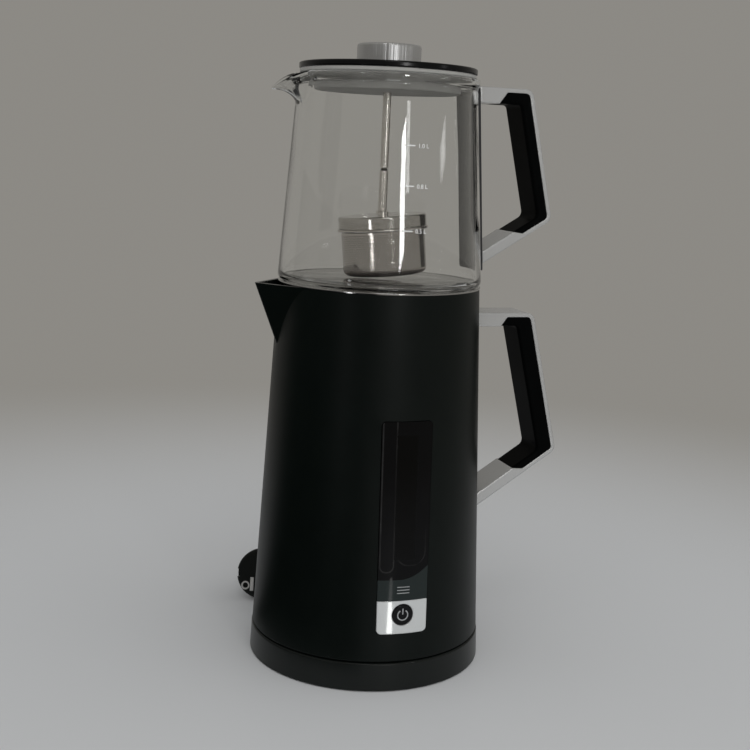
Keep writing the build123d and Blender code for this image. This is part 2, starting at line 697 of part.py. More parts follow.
def kettle_shell():
    keel = SHELL_Z1 - SPOUT_DROP
    solid = turned([(0, SHELL_Z0), (SHELL_R0, SHELL_Z0), (SHELL_R1, SHELL_Z1), (0, SHELL_Z1)],
                   {1: SHELL_EDGE_R})
    solid += spout_prism(0, keel, SHELL_Z1)
    solid -= shell_core(-WALL, SHELL_Z0 - 1, SHELL_Z1 + 1)
    solid -= spout_prism(WALL, THROAT_Z, SHELL_Z1 + 1)
    solid -= spout_prism(WALL, keel + 1.25 * WALL, THROAT_Z - THROAT_SHELF)
    within = shell_core(-WALL / 2, SHELL_Z0, SHELL_Z1)
    low, high = KETTLE_BASE_TOP + FIT, KETTLE_BASE_TOP + KETTLE_BOSS_L
    for x, y in kettle_bosses():
        solid += disc(HEAD_R + BOSS_WALL, low, high, x, y) & within
        solid -= disc(SCREW_R, KETTLE_BASE_TOP, high - 2, x, y)
    for x, z in board_posts():
        solid += rod_along((x, board_y() - FIT, z), (0, -1, 0), BOARD_POST_R, SHELL_R0) & within
        solid -= rod_along((x, board_y(), z), (0, -1, 0), SCREW_R, BOARD_SCREW_L)
    return cut_front(cut_handle_holes(solid))


def kettle_bosses():
    return circle_points(shell_r(KETTLE_BASE_TOP) - WALL - HEAD_R - 0.5, 3, 90)


def cut_front(solid):
    """Pocket for the panel and plate, with the openings behind them."""
    limits = above_foot((PLATE_Z[0] - PANEL_GAP, PANEL_Z[1] + PANEL_GAP))
    r = PANEL_CORNER_R + PANEL_GAP
    pocket = front_prism(PANEL_HALF_W + PANEL_GAP, limits, r, r)
    solid -= pocket - shell_core(-POCKET_DEPTH, SHELL_Z0, SHELL_Z1)
    solid -= front_prism(WINDOW_HALF_W, above_foot(WINDOW_Z), *WINDOW_CORNER_R)
    solid -= front_hole(BUTTON_Z, BUTTON_R + BUTTON_GAP)
    return solid - front_hole(LAMP_Z, LAMP_R + FIT)


def lower_arm_screw():
    """Height of the lower arm's screws, and how far they bite: they end inside the sloping arm."""
    slope = math.radians(KETTLE_HANDLE["slope"])
    thick = KETTLE_HANDLE["arms"][2] / math.cos(slope)
    face = chord_x(shell_r(low_arm_z(KETTLE_HANDLE, SHELL_R1, SHELL_Z1, SHELL_R0)), HANDLE_W / 4)
    middle = low_arm_z(KETTLE_HANDLE, SHELL_R1, SHELL_Z1, face)
    room = thick / 2 - SCREW_R - ARM_WALL
    return middle + room, 2 * room / math.tan(slope)


def kettle_handle_screws_at():
    """Head seats of the handle's four screws inside the shell's wall, with each screw's length."""
    upper = SHELL_Z1 - KETTLE_HANDLE["drop"][0] - KETTLE_HANDLE["arms"][0] / 2
    lower, bite = lower_arm_screw()
    seats = []
    for z, length in ((upper, UPPER_SCREW_L), (lower, WALL + HEAD_SINK + bite)):
        for y in (-HANDLE_W / 4, HANDLE_W / 4):
            seats.append(((chord_x(shell_r(z) - WALL, y) - HEAD_SINK, y, z), length))
    return seats


def cut_handle_holes(solid):
    for (x, y, z), length in kettle_handle_screws_at():
        solid -= rod_along((x, y, z), (1, 0, 0), SCREW_R + FIT, length + SPOUT_REACH)
        solid -= rod_along((x - 4, y, z), (1, 0, 0), HEAD_R + FIT, 4)
    return solid


def rim_ring():
    lip = SHELL_Z1 - NEST_DEPTH + RUN
    low = SHELL_Z1 + FIT
    edge = SHELL_R1 + RIM_PROUD
    return turned([(NEST_R, lip), (NEST_R + RIM_T, lip), (NEST_R + RIM_T, low), (edge, low),
                   (edge, RIM_Z1), (NEST_R, RIM_Z1)], {4: 0.5})


def liner_r():
    """Outside radius of the steel pot, which leaves room for the gauge above and the board below."""
    above = chord_x(shell_r(SHELL_Z0 + GAUGE_Z[1]) - WALL, GAUGE_HALF_W) - GAUGE_GAP - GAUGE_DEPTH
    below = -(board_y() + BOARD_T + HEAD_H) - RUN
    return min(above - GAUGE_BACK_GAP, below)


def steel_liner():
    """Pressed steel pot that flares out to the shell under the throat."""
    top = THROAT_Z - FIT
    flange_r = shell_r(top) - WALL - FLANGE_GAP
    knee = top - LINER_FLARE
    r = liner_r()
    t = SHEET
    body = turned([(0, LINER_Z0), (r, LINER_Z0), (r, knee), (flange_r - 1.5 * t, top - t),
                   (flange_r, top - t), (flange_r, top), (flange_r - 2 * t, top), (r - t, knee + 0.5),
                   (r - t, LINER_Z0 + t), (0, LINER_Z0 + t)], {1: LINER_HEEL_R, 8: LINER_HEEL_R - t})
    for z in port_heights():
        body -= rod_along((0, 0, z), (0, -1, 0), PORT_R + GROMMET_WALL + FIT, 1.1 * r)
    return body


def liner_seal():
    r = shell_r(THROAT_Z) - WALL - FLANGE_GAP
    return ring(r, r - SEAL_W, THROAT_Z, THROAT_Z + SEAL_H)


def port_heights():
    z0, z1 = above_foot(GAUGE_Z)
    return (z0 + PORT_INSET, z1 - PORT_INSET)


def gauge_back():
    return -(liner_r() + GAUGE_BACK_GAP)


def gauge_tube():
    """Clear, flat water-level chamber with two stub pipes into the steel pot."""
    z0, z1 = above_foot(GAUGE_Z)
    back = gauge_back()
    front = back - GAUGE_DEPTH
    body = block((-GAUGE_HALF_W, GAUGE_HALF_W), (front, back), (z0, z1))
    body = fillet(body.edges().filter_by(Axis.Z), GAUGE_EDGE_R)
    w = GAUGE_WALL
    hollow = block((w - GAUGE_HALF_W, GAUGE_HALF_W - w), (front + w, back - w), (z0 + w, z1 - w))
    for z in port_heights():
        body += rod_along((0, back - w, z), (0, 1, 0), PORT_R, w + PORT_L)
        hollow += rod_along((0, back - w - 0.5, z), (0, 1, 0), PORT_R - PORT_WALL, w + PORT_L + 1)
    return body - hollow


def gauge_seals():
    """Grommets that seal the gauge's stub pipes in the steel pot's wall."""
    back = gauge_back()
    inside = SHEET + FIT - liner_r()
    seals = []
    for z in port_heights():
        sleeve = rod_along((0, back + 0.05, z), (0, 1, 0), PORT_R + GROMMET_WALL, 4 * SHEET)
        sleeve += rod_along((0, inside + SHEET, z), (0, 1, 0), PORT_R + 2 * GROMMET_WALL, 1.5 * SHEET)
        seals.append(sleeve - rod_along((0, back - 1, z), (0, 1, 0), PORT_R + 0.05, 2 * PORT_L))
    return seals


def heater_r():
    return liner_r() - HEATER_INSET


def heater_plate():
    r = heater_r()
    top = HEATER_UNDER + HEATER_T
    return turned([(0, HEATER_UNDER), (r - HEATER_BEVEL, HEATER_UNDER), (r, top), (0, top)])


def element_r():
    return heater_r() - ELEMENT_INSET


def heating_element():
    """Horseshoe tube under the plate, with its two cold pins turned down."""
    z = HEATER_UNDER - ELEMENT_TUBE_R - 0.05
    tube = Plane.XZ * (Pos(element_r(), z) * Circle(ELEMENT_TUBE_R))
    shoe = Rot(0, 0, ELEMENT_GAP - 90) * revolve(tube, Axis.Z, 360 - 2 * ELEMENT_GAP)
    for a in (ELEMENT_GAP - 90, -90 - ELEMENT_GAP):
        x = element_r() * math.cos(math.radians(a))
        y = element_r() * math.sin(math.radians(a))
        shoe += Pos(x, y, z) * Sphere(ELEMENT_TUBE_R)
        shoe += disc(COLD_PIN_R, z - COLD_PIN_L, z, x, y)
    return shoe


def kettle_base():
    """Bottom cover with a foot ring that drops into the base's recess."""
    top = KETTLE_BASE_TOP
    r = shell_r(top) - WALL - FIT
    foot = DECK_Z + RUN
    hole = SOCKET_R + FIT + RUN
    outer = RECESS_R - FOOT_RING_GAP
    inner = outer - FOOT_RING_W
    body = turned([(hole, SHELL_Z0), (inner, SHELL_Z0), (inner, foot), (outer, foot),
                   (outer, SHELL_Z0), (r, SHELL_Z0), (r, top), (hole, top)],
                  {2: FOOT_RING_EDGE_R, 3: FOOT_RING_EDGE_R})
    for x, y in kettle_bosses():
        body -= disc(SCREW_R + FIT, foot - 1, top, x, y)
        body -= disc(HEAD_R + FIT, foot - 1, top - KETTLE_HEAD_SINK, x, y)
    return body


def kettle_base_screws():
    seat = KETTLE_BASE_TOP - KETTLE_HEAD_SINK
    return [screw((x, y, seat), (0, 0, 1), KETTLE_SCREW_L) for x, y in kettle_bosses()]


def thermostat_r():
    return element_r() - THERMOSTAT_INSET


def thermostat_ears():
    return circle_points(thermostat_r() + EAR_OUT, 3, 90)


def thermostat():
    """Dry-boil control above the socket, with its two bimetal discs against the heater plate."""
    low = THERMOSTAT_Z
    high = low + THERMOSTAT_T
    r = thermostat_r()
    body = disc(r, low, high)
    for x in (-BIMETAL_X, BIMETAL_X):
        body += disc(BIMETAL_R, high - 0.5, HEATER_UNDER - FIT, x, 0)
    body += block((2 - r, 8 - r), (-9, 9), (high - 0.5, high + TERMINAL_H))
    for x, y in thermostat_ears():
        body += disc(EAR_R, low, high, x, y)
        body -= disc(SCREW_R, low - 1, high + 1, x, y)
    return body


def thermostat_screws():
    high = THERMOSTAT_Z + THERMOSTAT_T
    stems = []
    for x, y in thermostat_ears():
        shank = disc(SCREW_R - 0.05, THERMOSTAT_Z, HEATER_UNDER - 0.5, x, y)
        stems.append(shank + disc(HEAD_R, high + TOUCH, high + 2 * WIRE_R, x, y))
    return stems


def kettle_wires():
    """Two leads from the control up to the control board."""
    low = THERMOSTAT_Z + THERMOSTAT_T + WIRE_R + 0.3
    z = board_z()[0] + 4
    behind = board_y() + BOARD_T
    wires = []
    for x in (-5.0, 5.0):
        path = FilletPolyline((x, 6 - thermostat_r(), low), (x, board_y() + LEAD_BEND, low),
                              (x, board_y() + 4, z), (x, behind + FIT, z), radius=[5, 2])
        wires.append(sweep(Plane(origin=path @ 0, z_dir=path % 0) * Circle(WIRE_R), path))
    return wires


# ---- controls --------------------------------------------------------------------------------
def button_face_y():
    return -(shell_r(SHELL_Z0 + BUTTON_Z) + PANEL_PROUD + BUTTON_PROUD)


def button_flange_y():
    """Front of the flange that traps the button behind the wall, clear of the curved inside."""
    flange_r = BUTTON_R + BUTTON_FLANGE_W
    r = shell_r(SHELL_Z0 + BUTTON_Z + flange_r) - WALL
    return RUN - chord_x(r, flange_r)


def board_y():
    """Front of the control board."""
    return button_flange_y() + BUTTON_FLANGE_T + BUTTON_STEM_L + BUTTON_TRAVEL + SWITCH_H


def board_z():
    return above_foot(BOARD_Z)


def board_posts():
    z0, z1 = board_z()
    aside, inset = BOARD_HALF_W - BOARD_POST_INSET[0], BOARD_POST_INSET[1]
    return [(x, z) for x in (-aside, aside) for z in (z0 + inset, z1 - inset)]


def control_board():
    board = block((-BOARD_HALF_W, BOARD_HALF_W), (board_y(), board_y() + BOARD_T), board_z())
    for x, z in board_posts():
        board -= rod_along((x, board_y() - 1, z), (0, 1, 0), SCREW_R + FIT, BOARD_T + 2)
    return board


def board_screws():
    back = board_y() + BOARD_T + TOUCH
    return [screw((x, back, z), (0, -1, 0), BOARD_SCREW_L) for x, z in board_posts()]


def tact_switch():
    """Small push switch on the board behind the button."""
    z = SHELL_Z0 + BUTTON_Z
    half = SWITCH_HALF_W
    face = board_y() - SWITCH_BODY_H
    body = block((-half, half), (face, board_y()), (z - half, z + half))
    return body + rod_along((0, face + 0.1, z), (0, -1, 0), SWITCH_STEM_R, SWITCH_H - SWITCH_BODY_H + 0.1)


def status_lamp():
    """Light pipe that shines through the panel's three printed bars."""
    z = SHELL_Z0 + LAMP_Z
    half_w, half_h, depth = LAMP_CHIP
    front = -(shell_r(z) - POCKET_DEPTH - 2 * FIT)
    chip = board_y() - depth
    pipe = rod_along((0, front, z), (0, 1, 0), LAMP_R, chip - front)
    return pipe + block((-half_w, half_w), (chip, board_y()), (z - half_h, z + half_h))


def power_button():
    z = SHELL_Z0 + BUTTON_Z
    face = button_face_y()
    flange = button_flange_y()
    cap = rod_along((0, face, z), (0, 1, 0), BUTTON_R, flange - face + 0.2)
    cap = fillet([e for e in cap.edges() if e.center().Y < face + 0.1], BUTTON_EDGE_R)
    cap += rod_along((0, flange, z), (0, 1, 0), BUTTON_R + BUTTON_FLANGE_W, BUTTON_FLANGE_T)
    stem_l = BUTTON_FLANGE_T + BUTTON_STEM_L - FIT
    return cap + rod_along((0, flange, z), (0, 1, 0), BUTTON_STEM_R, stem_l)


def panel_band():
    """Thin curved layer in the shell's pocket."""
    outer = shell_core(PANEL_PROUD, SHELL_Z0, SHELL_Z1)
    return outer - shell_core(FIT - POCKET_DEPTH, SHELL_Z0, SHELL_Z1)


def front_panel():
    return front_prism(PANEL_HALF_W, above_foot(PANEL_Z), JOINT_CORNER_R, PANEL_CORNER_R) & panel_band()


def button_plate():
    plate = front_prism(PANEL_HALF_W, above_foot(PLATE_Z), PANEL_CORNER_R, JOINT_CORNER_R) & panel_band()
    return plate - front_hole(BUTTON_Z, BUTTON_R + BUTTON_GAP)


def spout_filter():
    """Curved screen that stands across the throat behind the spout."""
    r = shell_r(THROAT_Z) - WALL - FILTER_GAP
    z0, z1 = THROAT_Z + FIT, SHELL_Z1 - NEST_DEPTH - 2 * RUN
    screen = sector(r, r - SHEET, (180 - FILTER_ANGLE, 180 + FILTER_ANGLE), z0, z1)
    rows = int((z1 - z0 - FILTER_GAP) // FILTER_PITCH)
    for row in range(rows):
        z = z0 + 2.2 + FILTER_PITCH * row
        for step in range(-FILTER_STEPS, FILTER_STEPS + 1):
            a = math.radians(180 + FILTER_STEP_ANGLE * step)
            screen -= rod_along((0, 0, z), (math.cos(a), math.sin(a), 0), FILTER_HOLE_R, r + 5)
    return screen


# ---- handles ---------------------------------------------------------------------------------
def meet(p, a, q, b):
    """Crossing of two lines given as a point and a heading in degrees."""
    ax, az = math.cos(math.radians(a)), math.sin(math.radians(a))
    bx, bz = math.cos(math.radians(b)), math.sin(math.radians(b))
    t = ((q[0] - p[0]) * bz - (q[1] - p[1]) * bx) / (ax * bz - az * bx)
    return (p[0] + t * ax, p[1] + t * az)


def shifted(p, heading, distance):
    """Point moved square to a heading, to its right."""
    a = math.radians(heading - 90)
    return (p[0] + distance * math.cos(a), p[1] + distance * math.sin(a))


def handle_lines(spec, mouth_r, mouth_z):
    """Outer corners and the headings of the three sides, going out, down and back in."""
    top = (mouth_r + spec["reach"][0], mouth_z - spec["drop"][0])
    low = (mouth_r + spec["reach"][1], mouth_z - spec["drop"][1])
    back = math.degrees(math.atan2(low[1] - top[1], low[0] - top[0]))
    return top, low, back, 180.0 + spec["slope"]


def inset_corners(spec, mouth_r, mouth_z, insets):
    """Corners of the handle's outline moved inwards by one distance for each side."""
    top, low, back, under = handle_lines(spec, mouth_r, mouth_z)
    p_top, p_back = shifted(top, 0, insets[0]), shifted(top, back, insets[1])
    p_low = shifted(low, under, insets[2])
    return meet(p_top, 0, p_back, back), meet(p_back, back, p_low, under)


def low_arm_z(spec, mouth_r, mouth_z, x):
    """Height of the middle of the lower arm at a distance from the axis."""
    low = handle_lines(spec, mouth_r, mouth_z)[1]
    slope = math.radians(spec["slope"])
    outer = low[1] - (low[0] - x) * math.tan(slope)
    return outer + spec["arms"][2] / 2 / math.cos(slope)


def along(point, heading, distance):
    """Point moved along a heading in radians."""
    return (point[0] + distance * math.cos(heading), point[1] + distance * math.sin(heading))


def handle_solids(spec, mouth_r, mouth_z, body_core):
    """Silver frame and black grip of one handle, cut to seat on the body it is fixed to."""
    top, low, back, under = handle_lines(spec, mouth_r, mouth_z)
    r = HANDLE_CORNER_R
    root = mouth_r - HANDLE_ROOT
    slope = math.tan(math.radians(spec["slope"]))
    outside = outline([(root, top[1]), top, low, (root, low[1] - (low[0] - root) * slope)], {1: r, 2: r})
    in_top, in_low = inset_corners(spec, mouth_r, mouth_z, spec["arms"])
    hole_root = root - 5
    in_foot = (hole_root, in_low[1] - (in_low[0] - hole_root) * slope)
    inside = outline([(hole_root, in_top[1]), in_top, in_low, in_foot], {1: r / 2, 2: r - 1})
    g_top, g_low = inset_corners(spec, mouth_r, mouth_z, (STRIP, STRIP, STRIP))
    ends = spec["ends"]
    u = math.radians(under)
    upper_tip = (in_top[0] - ends[0] + ends[1], g_top[1])
    grip_face = outline([(in_top[0] - ends[0], in_top[1]), upper_tip, g_top, g_low,
                         along(g_low, u, ends[2]), along(in_low, u, ends[3]), in_low, in_top],
                        {1: GRIP_TIP_R, 2: r - STRIP, 3: r - STRIP, 6: r - 1, 7: r / 2})
    half = HANDLE_W / 2
    frame = extrude(Plane.XZ * outside, half, both=True) - extrude(Plane.XZ * inside, half + 1, both=True)
    grip = extrude(Plane.XZ * grip_face, half, both=True)
    return frame - grip - body_core, soften_grip(grip, in_top, in_low)


def soften_grip(grip, in_top, in_low):
    """Rounds both long edges of the face that the fingers hold."""
    mid = Vector((in_top[0] + in_low[0]) / 2, 0, (in_top[1] + in_low[1]) / 2)
    edges = []
    for side in (-HANDLE_W / 2, HANDLE_W / 2):
        target = Vector(mid.X, side, mid.Z)
        edges.append(min(grip.edges(), key=lambda e: (e.center() - target).length))
    return fillet(edges, GRIP_EDGE_R)


def kettle_handle():
    seat = shell_core(FIT, SHELL_Z0 - 5, SHELL_Z1 + 5)
    frame, grip = handle_solids(KETTLE_HANDLE, SHELL_R1, SHELL_Z1, seat)
    for point, length in kettle_handle_screws_at():
        frame -= rod_along(point, (1, 0, 0), SCREW_R + TOUCH, length + 0.5)
    return frame, grip


def kettle_handle_screws():
    return [screw(point, (1, 0, 0), length) for point, length in kettle_handle_screws_at()]


# ---- teapot ----------------------------------------------------------------------------------
def lip_section(x, half_w, low, high):
    """Upright U-shaped section of the pouring lip."""
    knee = low + 0.9 * half_w
    edges = Line((-half_w, high), (-half_w, knee)) + ThreePointArc((-half_w, knee), (0, low), (half_w, knee))
    edges += Line((half_w, knee), (half_w, high)) + Line((half_w, high), (-half_w, high))
    return Plane(origin=(x, 0, 0), x_dir=(0, 1, 0), z_dir=(1, 0, 0)) * make_face(edges)


def lip_outside():
    """Tapering lip whose top edge falls away from the rim to the tip."""
    root, tip = LIP_ROOT - GLASS_R1, -(GLASS_R1 + LIP_REACH)
    sections = [lip_section(root, LIP_HALF_W, GLASS_Z1 + LIP_ROOT_Z[0], GLASS_Z1 + LIP_ROOT_Z[1]),
                lip_section(tip, LIP_TIP_HALF_W, GLASS_Z1 + LIP_TIP_Z[0], GLASS_Z1 + LIP_TIP_Z[1])]
    above = block((1.5 * tip, 0), (-2 * LIP_HALF_W, 2 * LIP_HALF_W), (GLASS_Z1, GLASS_Z1 + 20))
    return loft(sections, ruled=True) - above


def lip_channel():
    """Open channel inside the lip, running out past its tip."""
    t = GLASS_T - 0.2
    above = GLASS_Z1 + 2 * LIP_ROOT_Z[1]
    root, tip = LIP_ROOT - GLASS_R1, -(GLASS_R1 + LIP_REACH + 1)
    sections = [lip_section(root, LIP_HALF_W - t, GLASS_Z1 + LIP_ROOT_Z[0] + t, above),
                lip_section(tip, LIP_TIP_HALF_W / 2, GLASS_Z1 + LIP_TIP_Z[0] + 1.1, above)]
    return loft(sections, ruled=True)


def glass_pot():
    z = SEAT_Z
    foot = z - NEST_DEPTH
    under = z - GLASS_DISH
    nest = NEST_R - RUN - FIT
    bead = GLASS_R1 + BEAD_OUT
    outer = turned([(0, under), (nest - GLASS_FOOT_W - 1.5, under), (nest - GLASS_FOOT_W, foot),
                    (nest, foot), (nest, z), (GLASS_R0, z), (GLASS_R1, BEAD_Z), (bead, BEAD_Z + BEAD_SLOPE),
                    (bead, GLASS_Z1), (0, GLASS_Z1)], {3: 1.2, 5: GLASS_HEEL_R, 7: 1.0, 8: 1.8})
    floor = z + GLASS_FLOOR
    neck = GLASS_R1 - GLASS_T
    inner = turned([(0, floor), (glass_r(floor) - GLASS_T, floor), (neck, BEAD_Z),
                    (neck - BEAD_IN, BEAD_Z + BEAD_SLOPE), (neck - BEAD_IN, GLASS_Z1 + 1),
                    (0, GLASS_Z1 + 1)], {1: GLASS_HEEL_R - 1.3})
    return outer + lip_outside() - inner - lip_channel()


def strap_prism():
    half, cut = STRAP_HALF_W, STRAP_CHAMFER
    z0, z1 = SEAT_Z + STRAP_Z[0], SEAT_Z + STRAP_Z[1]
    corners = [(-half, z0), (half, z0), (half, z1 - cut), (half - cut, z1), (cut - half, z1),
               (-half, z1 - cut)]
    return extrude(Plane.YZ * outline(corners, {0: STRAP_CORNER_R, 1: STRAP_CORNER_R}), 1.3 * GLASS_R0)


def handle_strap():
    """Plate bonded to the glass, with a tongue for each arm of the handle."""
    z0, z1 = SEAT_Z + 1, GLASS_Z1 - 1
    neck, bead = GLASS_R1 + FIT, GLASS_R1 + BEAD_OUT + FIT
    rim = turned([(0, BEAD_Z - 0.2), (neck, BEAD_Z - 0.2), (bead, BEAD_Z + BEAD_SLOPE - FIT),
                  (bead, GLASS_Z1), (0, GLASS_Z1)])
    band = glass_core(STRAP_T, z0, z1) - glass_core(FIT, z0, z1) - rim
    return (strap_prism() & band) + tongues(0)


def tongues(grow):
    """Two square tongues that stand out of the strap into the arms."""
    half_w, half_t = TONGUE_HALF_W + grow, TONGUE_HALF_T + grow
    bars = []
    for z in pot_arm_heights():
        x = glass_r(z) + STRAP_T - TONGUE_SINK
        bars.append(block((x, x + TONGUE_L + grow), (-half_w, half_w), (z - half_t, z + half_t)))
    return bars[0] + bars[1]


def pot_arm_heights():
    upper = GLASS_Z1 - POT_HANDLE["drop"][0] - POT_HANDLE["arms"][0] / 2
    lower = low_arm_z(POT_HANDLE, GLASS_R1, GLASS_Z1, GLASS_R0 + SET_SCREW_AT)
    return (upper, lower + 0.6)


def set_screws_at():
    return [(glass_r(z) + STRAP_T + SET_SCREW_AT, z) for z in pot_arm_heights()]


def pot_handle():
    seat = glass_core(STRAP_T + FIT, SEAT_Z - 5, GLASS_Z1 + 5)
    frame, grip = handle_solids(POT_HANDLE, GLASS_R1, GLASS_Z1, seat)
    frame -= tongues(FIT)
    for x, z in set_screws_at():
        frame -= disc(SET_SCREW_R + 0.05, z - 12, z + 2 * TONGUE_HALF_T, x, 0)
    return frame, grip


def pot_handle_screws():
    """Set screws that lock the arms on the strap's tongues from below."""
    pins = []
    for x, z in set_screws_at():
        top = z - TONGUE_HALF_T - TOUCH
        pins.append(disc(SET_SCREW_R, top - SET_SCREW_L, top, x, 0))
    return pins


# ---- lid and infuser -------------------------------------------------------------------------
def lid_cover():
    z1 = COVER_Z + COVER_T
    hole = ROD_R + FIT
    return turned([(hole, COVER_Z), (LID_R, COVER_Z), (LID_R, z1), (hole, z1)],
                  {1: COVER_EDGE_R[0], 2: COVER_EDGE_R[1]})


def lid_gasket():
    """Pale ring that seals the cover on the glass rim."""
    r_in, r_out = PLUG_R + PLUG_FLANGE, LID_R - GASKET_INSET
    z1 = LID_Z + GASKET_T
    return turned([(r_in, LID_Z), (r_out, LID_Z), (r_out, z1), (r_in, z1)], {1: 0.9, 2: 0.5})


def lid_plug():
    """Hollow plug under the cover, closed at the bottom, with a flange inside the gasket."""
    top = COVER_Z - FIT
    t = PLUG_WALL
    flange = PLUG_R + PLUG_FLANGE - FIT
    z = PLUG_FLOOR_Z
    under = LID_Z + 2 * RUN
    hole = THREAD_R + THREAD_FIT
    return turned([(hole, z), (PLUG_R, z), (PLUG_R, under), (flange, under), (flange, top),
                   (PLUG_R - t, top), (PLUG_R - t, z + t), (hole, z + t)], {1: PLUG_EDGE_R})


def lid_knob():
    """Turned aluminium knob, threaded on the rod from above."""
    z1 = KNOB_Z + KNOB_H
    cut = KNOB_CHAMFER
    solid = turned([(0, KNOB_Z), (KNOB_R - cut, KNOB_Z), (KNOB_R, KNOB_Z + cut), (KNOB_R, z1), (0, z1)],
                   {3: KNOB_EDGE_R})
    return solid - disc(THREAD_R + THREAD_FIT, KNOB_Z - 1, z1 - 4)


def lid_nut():
    """Hexagon nut and washer inside the plug."""
    z = PLUG_FLOOR_Z + PLUG_WALL
    nut = Pos(0, 0, z + WASHER_T) * extrude(RegularPolygon(NUT_R, 6), NUT_H)
    washer = disc(WASHER_R, z + TOUCH, z + WASHER_T)
    return nut + washer - disc(THREAD_R + THREAD_FIT, z - 1, z + 2 * NUT_H)


def upper_rod():
    """Rod from the knob down to the screwed joint; its shoulder bears on the plug's floor."""
    joint = PLUG_FLOOR_Z - ROD_JOINT
    shoulder = PLUG_FLOOR_Z - TOUCH
    top = KNOB_Z + KNOB_H - 4.5
    neck = ROD_R - 0.55
    return turned([(0, joint - STUD_L), (STUD_R, joint - STUD_L), (STUD_R, joint + 0.2), (neck, joint + 0.2),
                   (neck, joint + JOINT_NECK), (ROD_R, joint + JOINT_NECK + 0.7), (ROD_R, shoulder),
                   (THREAD_R, shoulder), (THREAD_R, top), (0, top)])


def lower_rod():
    """Rod from the screwed joint to the infuser cap, with a collar above the cap."""
    top = PLUG_FLOOR_Z - ROD_JOINT
    collar = CAP_Z + 0.65
    collar_top = collar + COLLAR_H
    low = CAP_Z - CAP_THREAD_L
    r = LOWER_ROD_R
    solid = turned([(0, low), (LOWER_THREAD_R, low), (LOWER_THREAD_R, collar - 0.05), (COLLAR_R, collar),
                    (COLLAR_R, collar_top), (r, collar_top + 0.8), (r, top), (0, top)], {6: 0.6})
    solid -= disc(STUD_R + 0.05, top - STUD_L - 1, top + 1)
    heading = (math.sqrt(0.5), -math.sqrt(0.5), 0)
    return solid - rod_along((0, 0, top - CROSS_HOLE_DROP), heading, CROSS_HOLE_R, 3 * r)


def cap_nut():
    z = CAP_Z - CAP_THREAD_L
    nut = Pos(0, 0, z) * extrude(RegularPolygon(CAP_NUT_R, 6), CAP_NUT_H)
    return nut - disc(LOWER_THREAD_R + THREAD_FIT, z - 1, z + 2 * CAP_NUT_H)


def tilted(shape):
    """Leans a piece of the infuser about the top of its cap."""
    a = math.radians(TILT_HEADING)
    return shape.rotate(Axis((0, 0, CAP_Z), (math.cos(a), math.sin(a), 0)), -CAP_TILT)


def basket_cap():
    """Cap on the rod, with two lugs inside its skirt for the can's bayonet slots."""
    z1 = CAP_Z
    z0 = z1 - CAP_H
    r = CAP_R
    t = SHEET
    hole = LOWER_ROD_R + 2 * FIT
    solid = turned([(hole, z1 - t), (r - t, z1 - t), (r - t, z0), (r, z0), (r, z1), (hole, z1)],
                   {1: CAP_EDGE_R - t, 4: CAP_EDGE_R})
    inner = CAN_R - CAN_T - LUG_ROOT
    for side in (-1, 1):
        start = (side * inner, 0, z1 - LUG_DROP)
        solid += rod_along(start, (side, 0, 0), LUG_R, r - t / 2 - inner)
    return tilted(solid)


def basket():
    """Infuser can: rolled bead under the cap, plain neck inside it, rounded heel, pierced floor."""
    bead_z = CAP_Z - CAP_H - RUN - CAN_BEAD_R
    low = CAP_Z - CAN_L
    top = CAP_Z - SHEET - CAN_NECK_GAP
    r, t = CAN_R, CAN_T
    solid = turned([(0, low), (r, low), (r, top), (r - t, top), (r - t, low + t), (0, low + t)],
                   {1: CAN_HEEL_R, 4: CAN_HEEL_R - t})
    bead = Pos(0, 0, bead_z) * Torus(CAP_R - 0.2, CAN_BEAD_R)
    solid += bead + ring(CAP_R - 0.2, r - t / 2, bead_z - 0.4, bead_z + 0.4)
    lug_z = CAP_Z - LUG_DROP
    half = LUG_R + LUG_GAP
    spread = math.degrees(half / (r - t))
    wide, thin = r + 0.2, r - t - 0.2
    for start in (0, 180):
        free = start - TWIST
        solid -= sector(wide, thin, (free - spread, start + spread), lug_z - half, lug_z + half)
        solid -= sector(wide, thin, (free - spread, free + spread), lug_z, top + 1)
    for count, radius in FLOOR_HOLES:
        for x, y in circle_points(radius, count):
            solid -= disc(FLOOR_HOLE_R, low - 1, low + 2, x, y)
    return tilted(solid)


